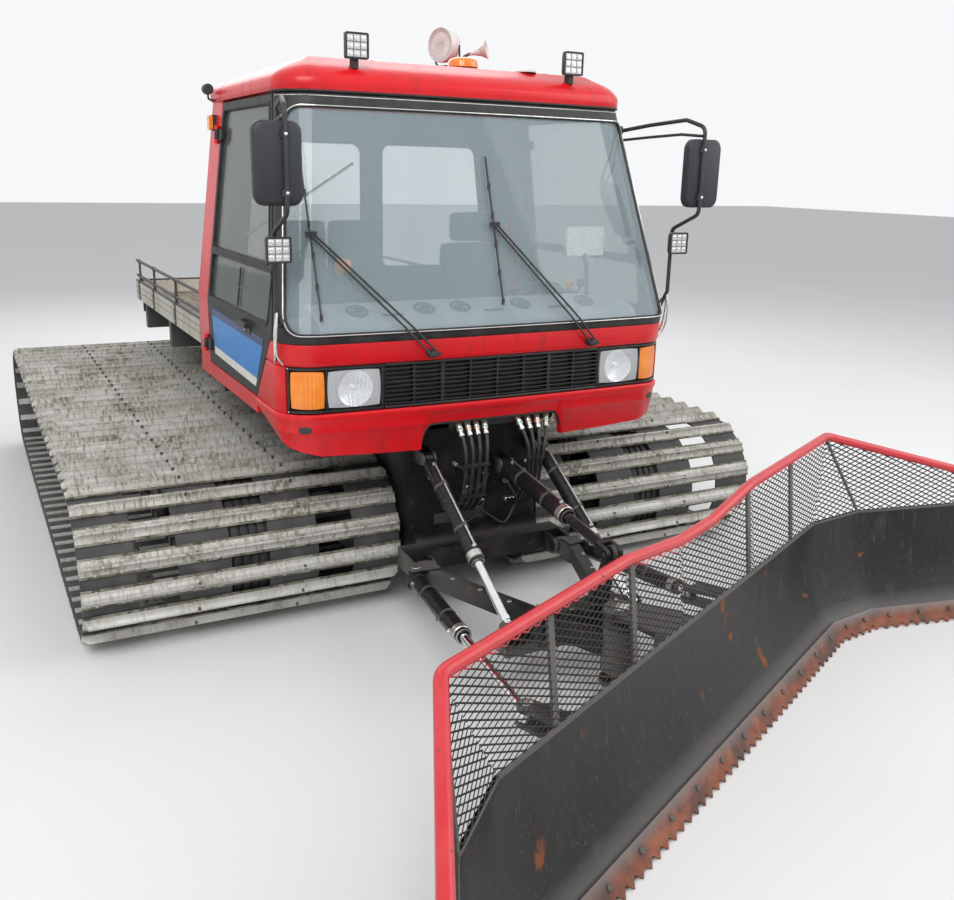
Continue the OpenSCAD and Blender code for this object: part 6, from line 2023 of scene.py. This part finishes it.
def build_chassis_trim():
    """Ribs and bolts of the hull, caps of the lift pivots and two rear cooling grilles."""
    s = Shape()
    for side in (-1, 1):
        for z in (500, 640, 780, 920, 1020):
            s.bolt((side * 378, 10, z), AHEAD, 11, 8)
        for k in range(HULL_RIBS):
            y = RIB_Y + k * RIB_STEP
            x0, x1 = span_x(side, *RIB_X)
            s.box((x0, y, 380), (x1, y + 40, 1030))
            for z in (440, 700, 960):
                s.bolt((side * RIB_X[1], y + 20, z), (side, 0, 0), 10, 7, 1)
        for x in (372, 468):
            s.disc((side * (x - 3), -248, 361), (side, 0, 0), 34, 26, 28, 0, 3)
        s.box((side * 300 - 70, 4450, 700), (side * 300 + 70, 4456, 1000))
        for k in range(9):
            s.box((side * 300 - 60, 4454, 715 + k * 31), (side * 300 + 60, 4464, 727 + k * 31), 0)
    s.box((-250, 4, 500), (60, 10, 560))
    for y in (180, 1340):
        for x in (-900, -620, 620, 900):
            s.bolt((x, y, 1105), AHEAD, 13, 9, 1)
    s.make("hull_ribs_and_bolts", "steel trim", "black_steel", bevel=1.5)


# Lift gear

# Foot and eye of each cylinder; the lift cylinders' as (y, z)
LIFT_X = 347
LIFT_A = (-102, 924)
LIFT_B = (-1029, 343)
PITCH_A = (126, -109, 834)
PITCH_B = (126, -1141, 685)
YAW_Z = 361
YAW_ARM = 745
YAW_FOOT = Vector((515, -330, YAW_Z))
YAW_EYE = YAW_ARM * Vector((math.cos(BLADE_YAW), math.sin(BLADE_YAW), 0))
# Radius and length of each kind of barrel
LIFT_BARREL = (38, 700)
PITCH_BARREL = (45, 660)
YAW_BARREL = (40, 708)
LIFT_ROD_R = 22


def dress_barrel(s, foot, eye, radius, length, across):
    """Gland, rings, ports and a clamped pipe on a cylinder's barrel."""
    foot, eye = Vector(foot), Vector(eye)
    d = (eye - foot).normalized()
    n = d.cross(Vector(across)).normalized()
    if n.z < 0:
        n = -n
    end = foot + d * length
    s.lathe([(radius - 1, -60), (radius + 3, -58), (radius + 3, -22), (radius - 1, -18), (radius - 1, 0),
             (radius - 9, 1), (radius - 9, -4)], end, d, 32, 1)
    s.lathe([(radius - 1, 44), (radius + 2.5, 46), (radius + 2.5, 66), (radius - 1, 68)], foot, d, 32)
    near, far, high = foot + d * 84, foot + d * (length - 70), n * (radius + 12)
    pipe = [near + n * radius, near + high, far + high, far + n * radius]
    s.tube(bent(pipe, 14), 5, 8, 1)
    for t in (0.3, 0.7):
        p = foot + d * length * t
        s.lathe([(radius - 1, -9), (radius + 2, -8), (radius + 2, 8), (radius - 1, 9)], p, d, 32, 2)
        c = p + n * (radius + 9)
        e = d.cross(n)
        s.loft([[c + e * a + n * b + d * h for a, b in ((-10, -8), (10, -8), (10, 9), (-10, 9))]
                for h in (-9, 9)], 2)
    for t in (76, length - 78):
        s.disc(foot + d * t + n * (radius - 2), n, 11, 12, 16, 1, 2)


def dress_rod(s, eye, foot, radius):
    """A collar behind a rod's eye, and the grease nipple on it."""
    eye, foot = Vector(eye), Vector(foot)
    d = (eye - foot).normalized()
    s.lathe([(radius - 1, -70), (radius + 4, -66), (radius + 4, -44), (radius - 1, -40)], eye, d, 28)
    s.disc(eye + d * 36, d, 5, 8, 10, 0, 2)


def build_cylinder_fittings():
    """The fittings of all five cylinders, each set on its own body."""
    finishes = "barrel coupler steel"
    lift = Shape()
    rods = Shape()
    for x in (-LIFT_X, LIFT_X):
        foot, eye = (x, *LIFT_A), (x, *LIFT_B)
        dress_barrel(lift, foot, eye, *LIFT_BARREL, LEFT)
        dress_rod(rods, eye, foot, LIFT_ROD_R)
    lift.make("lift_barrel_fittings", finishes, "black_steel", "lift_barrels", smooth=40)
    rods.make("lift_rod_fittings", "chrome", "chrome_rod", "lift_rods", smooth=40)
    pitch = Shape()
    dress_barrel(pitch, PITCH_A, PITCH_B, *PITCH_BARREL, LEFT)
    pitch.make("pitch_barrel_fittings", finishes, "black_steel", "pitch_barrel", smooth=40)
    for side, name in ((-1, "right"), (1, "left")):
        yaw = Shape()
        foot = (side * YAW_FOOT.x, YAW_FOOT.y, YAW_Z)
        eye = Vector((0, KING_Y, YAW_Z)) + side * YAW_EYE
        dress_barrel(yaw, foot, eye, *YAW_BARREL, (0, 0, -side))
        yaw.make("angle_barrel_%s_fittings" % name, finishes, "black_steel", "angle_barrel_" + name,
                 smooth=40)


def build_frame_trim():
    """Pin caps and bolts of the lift frame and the yoke."""
    s = Shape()
    for side in (-1, 1):
        for z, way, height in ((303, -1, 3), (405, 1, 17)):
            s.disc((side * YAW_FOOT.x, YAW_FOOT.y, z), (0, 0, way), 26, height, 24, 1, 3)
        for y in (-520, -700, -880):
            x = side * lerp(440, 90, (abs(y) - 400) / 986)
            s.disc((x, y, 405), UP, 13, 7, 6, 1, 2)
        for x in (309, 385):
            s.disc((side * x, *LIFT_B), (side, 0, 0), 21, 5, 20, 1, 2)
    for x in (-190, -60, 60, 190):
        for y in (-1110, -1010):
            s.disc((x, y, 420), UP, 12, 7, 6, 1, 2)
    s.lathe([(60, 470), (80, 472), (80, 458), (60, 456)], (0, KING_Y, 0), UP, 36, 0)
    s.make("lift_frame_fittings", "steel coupler", "black_steel", "lift_frame", smooth=40, bevel=1)
    b = Shape()
    b.turn = BLADE_TURN
    b.lathe([(0, 545), (46, 545), (46, 553), (30, 560), (0, 562)], (0, 0, 0), UP, 28, 1)
    for u in (-YAW_ARM, YAW_ARM):
        b.lathe([(0, 406), (26, 406), (26, 414), (14, 418), (0, 418)], (u, 0, 0), UP, 24, 1)
    for u in (-700, -480, -250, 250, 480, 700):
        for z in (330, 400):
            b.bolt((u, -230, z), (0, 1, 0), 12, 8, 1)
    for u in (-780, -560, -340, 340, 560, 780):
        b.box((u - 7, -330, 296), (u + 7, -226, 302), 0)
    b.make("yoke_fittings", "steel coupler", "black_steel", "blade", smooth=40, bevel=1)


# Camera, light and floor

# The photograph's camera: its place in millimetres, and its axes in the machine's frame
CAMERA_AT = (-2463.0, -4605.0, 2402.0)
CAMERA_RIGHT = Vector((0.88406, -0.46684, 0.02227))
CAMERA_DOWN = Vector((-0.10981, -0.2538, -0.961))
CAMERA_AHEAD = Vector((0.45429, 0.84714, -0.27564))
LENS_MM = 36.75
SENSOR_MM = 36.0


def build_camera():
    """The camera at the photograph's viewing angle."""
    data = bpy.data.cameras.new("camera")
    data.lens = LENS_MM
    data.sensor_width = SENSOR_MM
    data.sensor_fit = "HORIZONTAL"
    data.clip_end = 200
    cam = bpy.data.objects.new("camera", data)
    bpy.context.scene.collection.objects.link(cam)
    turn = Matrix((CAMERA_RIGHT, -CAMERA_DOWN, -CAMERA_AHEAD)).transposed().to_4x4()
    cam.matrix_world = Matrix.Translation(to_row(CAMERA_AT)) @ turn
    bpy.context.scene.camera = cam


def add_light(name, at, target, size, power):
    """A square lamp in row-frame metres and watts, turned towards target."""
    data = bpy.data.lights.new(name, "AREA")
    data.size = size
    data.energy = power
    lamp = bpy.data.objects.new(name, data)
    bpy.context.scene.collection.objects.link(lamp)
    lamp.location = at
    lamp.rotation_mode = "QUATERNION"
    lamp.rotation_quaternion = (Vector(target) - Vector(at)).to_track_quat("-Z", "Y")


# Name, place, target, size and power of each lamp
LAMPS = (("key", (-6.0, -7.5, 9.0), (0, 0, 1.2), 7.0, 820),
         ("fill", (8.0, -5.0, 6.0), (0, 0, 1.2), 8.0, 380),
         ("back", (2.0, 9.0, 8.0), (0, 0, 1.5), 8.0, 420))
SKY = (0.95, 0.97, 1.0, 1)
SKY_POWER = 0.62
BACKDROP = (0.93, 0.94, 0.95, 1)
FLOOR_HALF = 60.0


def build_light():
    """Three soft lamps, and a world that looks pale to camera, glossy and transmission rays."""
    for lamp in LAMPS:
        add_light(*lamp)
    world = bpy.data.worlds.new("studio")
    bpy.context.scene.world = world
    world.use_nodes = True
    tree = world.node_tree
    tree.nodes.clear()
    lit = tree.nodes.new("ShaderNodeBackground")
    lit.inputs["Color"].default_value = SKY
    lit.inputs["Strength"].default_value = SKY_POWER
    shown = tree.nodes.new("ShaderNodeBackground")
    shown.inputs["Color"].default_value = BACKDROP
    shown.inputs["Strength"].default_value = 1.0
    path = tree.nodes.new("ShaderNodeLightPath")
    seen = path.outputs["Is Camera Ray"]
    for ray in ("Is Glossy Ray", "Is Transmission Ray"):
        either = tree.nodes.new("ShaderNodeMath")
        either.operation = "MAXIMUM"
        tree.links.new(seen, either.inputs[0])
        tree.links.new(path.outputs[ray], either.inputs[1])
        seen = either.outputs[0]
    mix = tree.nodes.new("ShaderNodeMixShader")
    out = tree.nodes.new("ShaderNodeOutputWorld")
    tree.links.new(seen, mix.inputs[0])
    tree.links.new(lit.outputs[0], mix.inputs[1])
    tree.links.new(shown.outputs[0], mix.inputs[2])
    tree.links.new(mix.outputs[0], out.inputs[0])
    bpy.context.scene.view_settings.view_transform = "Standard"


def build_floor():
    """The plain pale floor."""
    f = Finish("ground", "floor_pale", (0.80, 0.80, 0.79), 0.9, specular=0.1)
    f.paint(f.noise(0.6, 0.3, 0.7), (0.76, 0.76, 0.75), amount=0.5)
    mesh = bpy.data.meshes.new("floor")
    r = FLOOR_HALF
    mesh.from_pydata([(-r, -r, 0), (r, -r, 0), (r, r, 0), (-r, r, 0)], [], [(0, 1, 2, 3)])
    mesh.materials.append(f.material)
    floor = bpy.data.objects.new("floor", mesh)
    bpy.context.scene.collection.objects.link(floor)


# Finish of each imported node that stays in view
CAD_FINISH = {
    "steel": "chassis tow_hitch lift_frame blade_yoke",
    "engine": "engine_block",
    "floor": "cab_floor",
    "red": "cab_rear_shell roof_hatch",
    "cream": "platform",
    "rubber": "door_right door_left",
    "side_glass": "door_right_glass door_left_glass",
    "barrel": "lift_cylinder_barrels pitch_cylinder_barrel pitch_cylinder_rod"
              " angle_barrel_right angle_barrel_left",
    "chrome": "lift_cylinder_rods angle_rod_right angle_rod_left",
}


def finish_cad_nodes():
    """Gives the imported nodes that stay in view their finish."""
    for finish, names in CAD_FINISH.items():
        for name in names.split():
            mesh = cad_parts[name].data
            mesh.materials.clear()
            mesh.materials.append(M[finish])


build_camera()
build_light()
build_floor()
finish_cad_nodes()
both_sides(build_track)
build_tyres()
build_running_gear()
build_front_panel()
build_bumper()
build_windscreen_frame()
build_cab_glass()
build_roof()
build_lamp_units()
build_grille()
build_board()
build_edge()
build_guard_rail()
build_guard_mesh()
build_wipers()
build_mirrors()
build_roof_lamps()
build_roof_caps()
build_hoses()
build_seats()
build_dashboard()
build_steering_wheel()
build_lining()
both_sides(build_door_trim)
build_platform()
build_chassis_trim()
build_cylinder_fittings()
build_frame_trim()
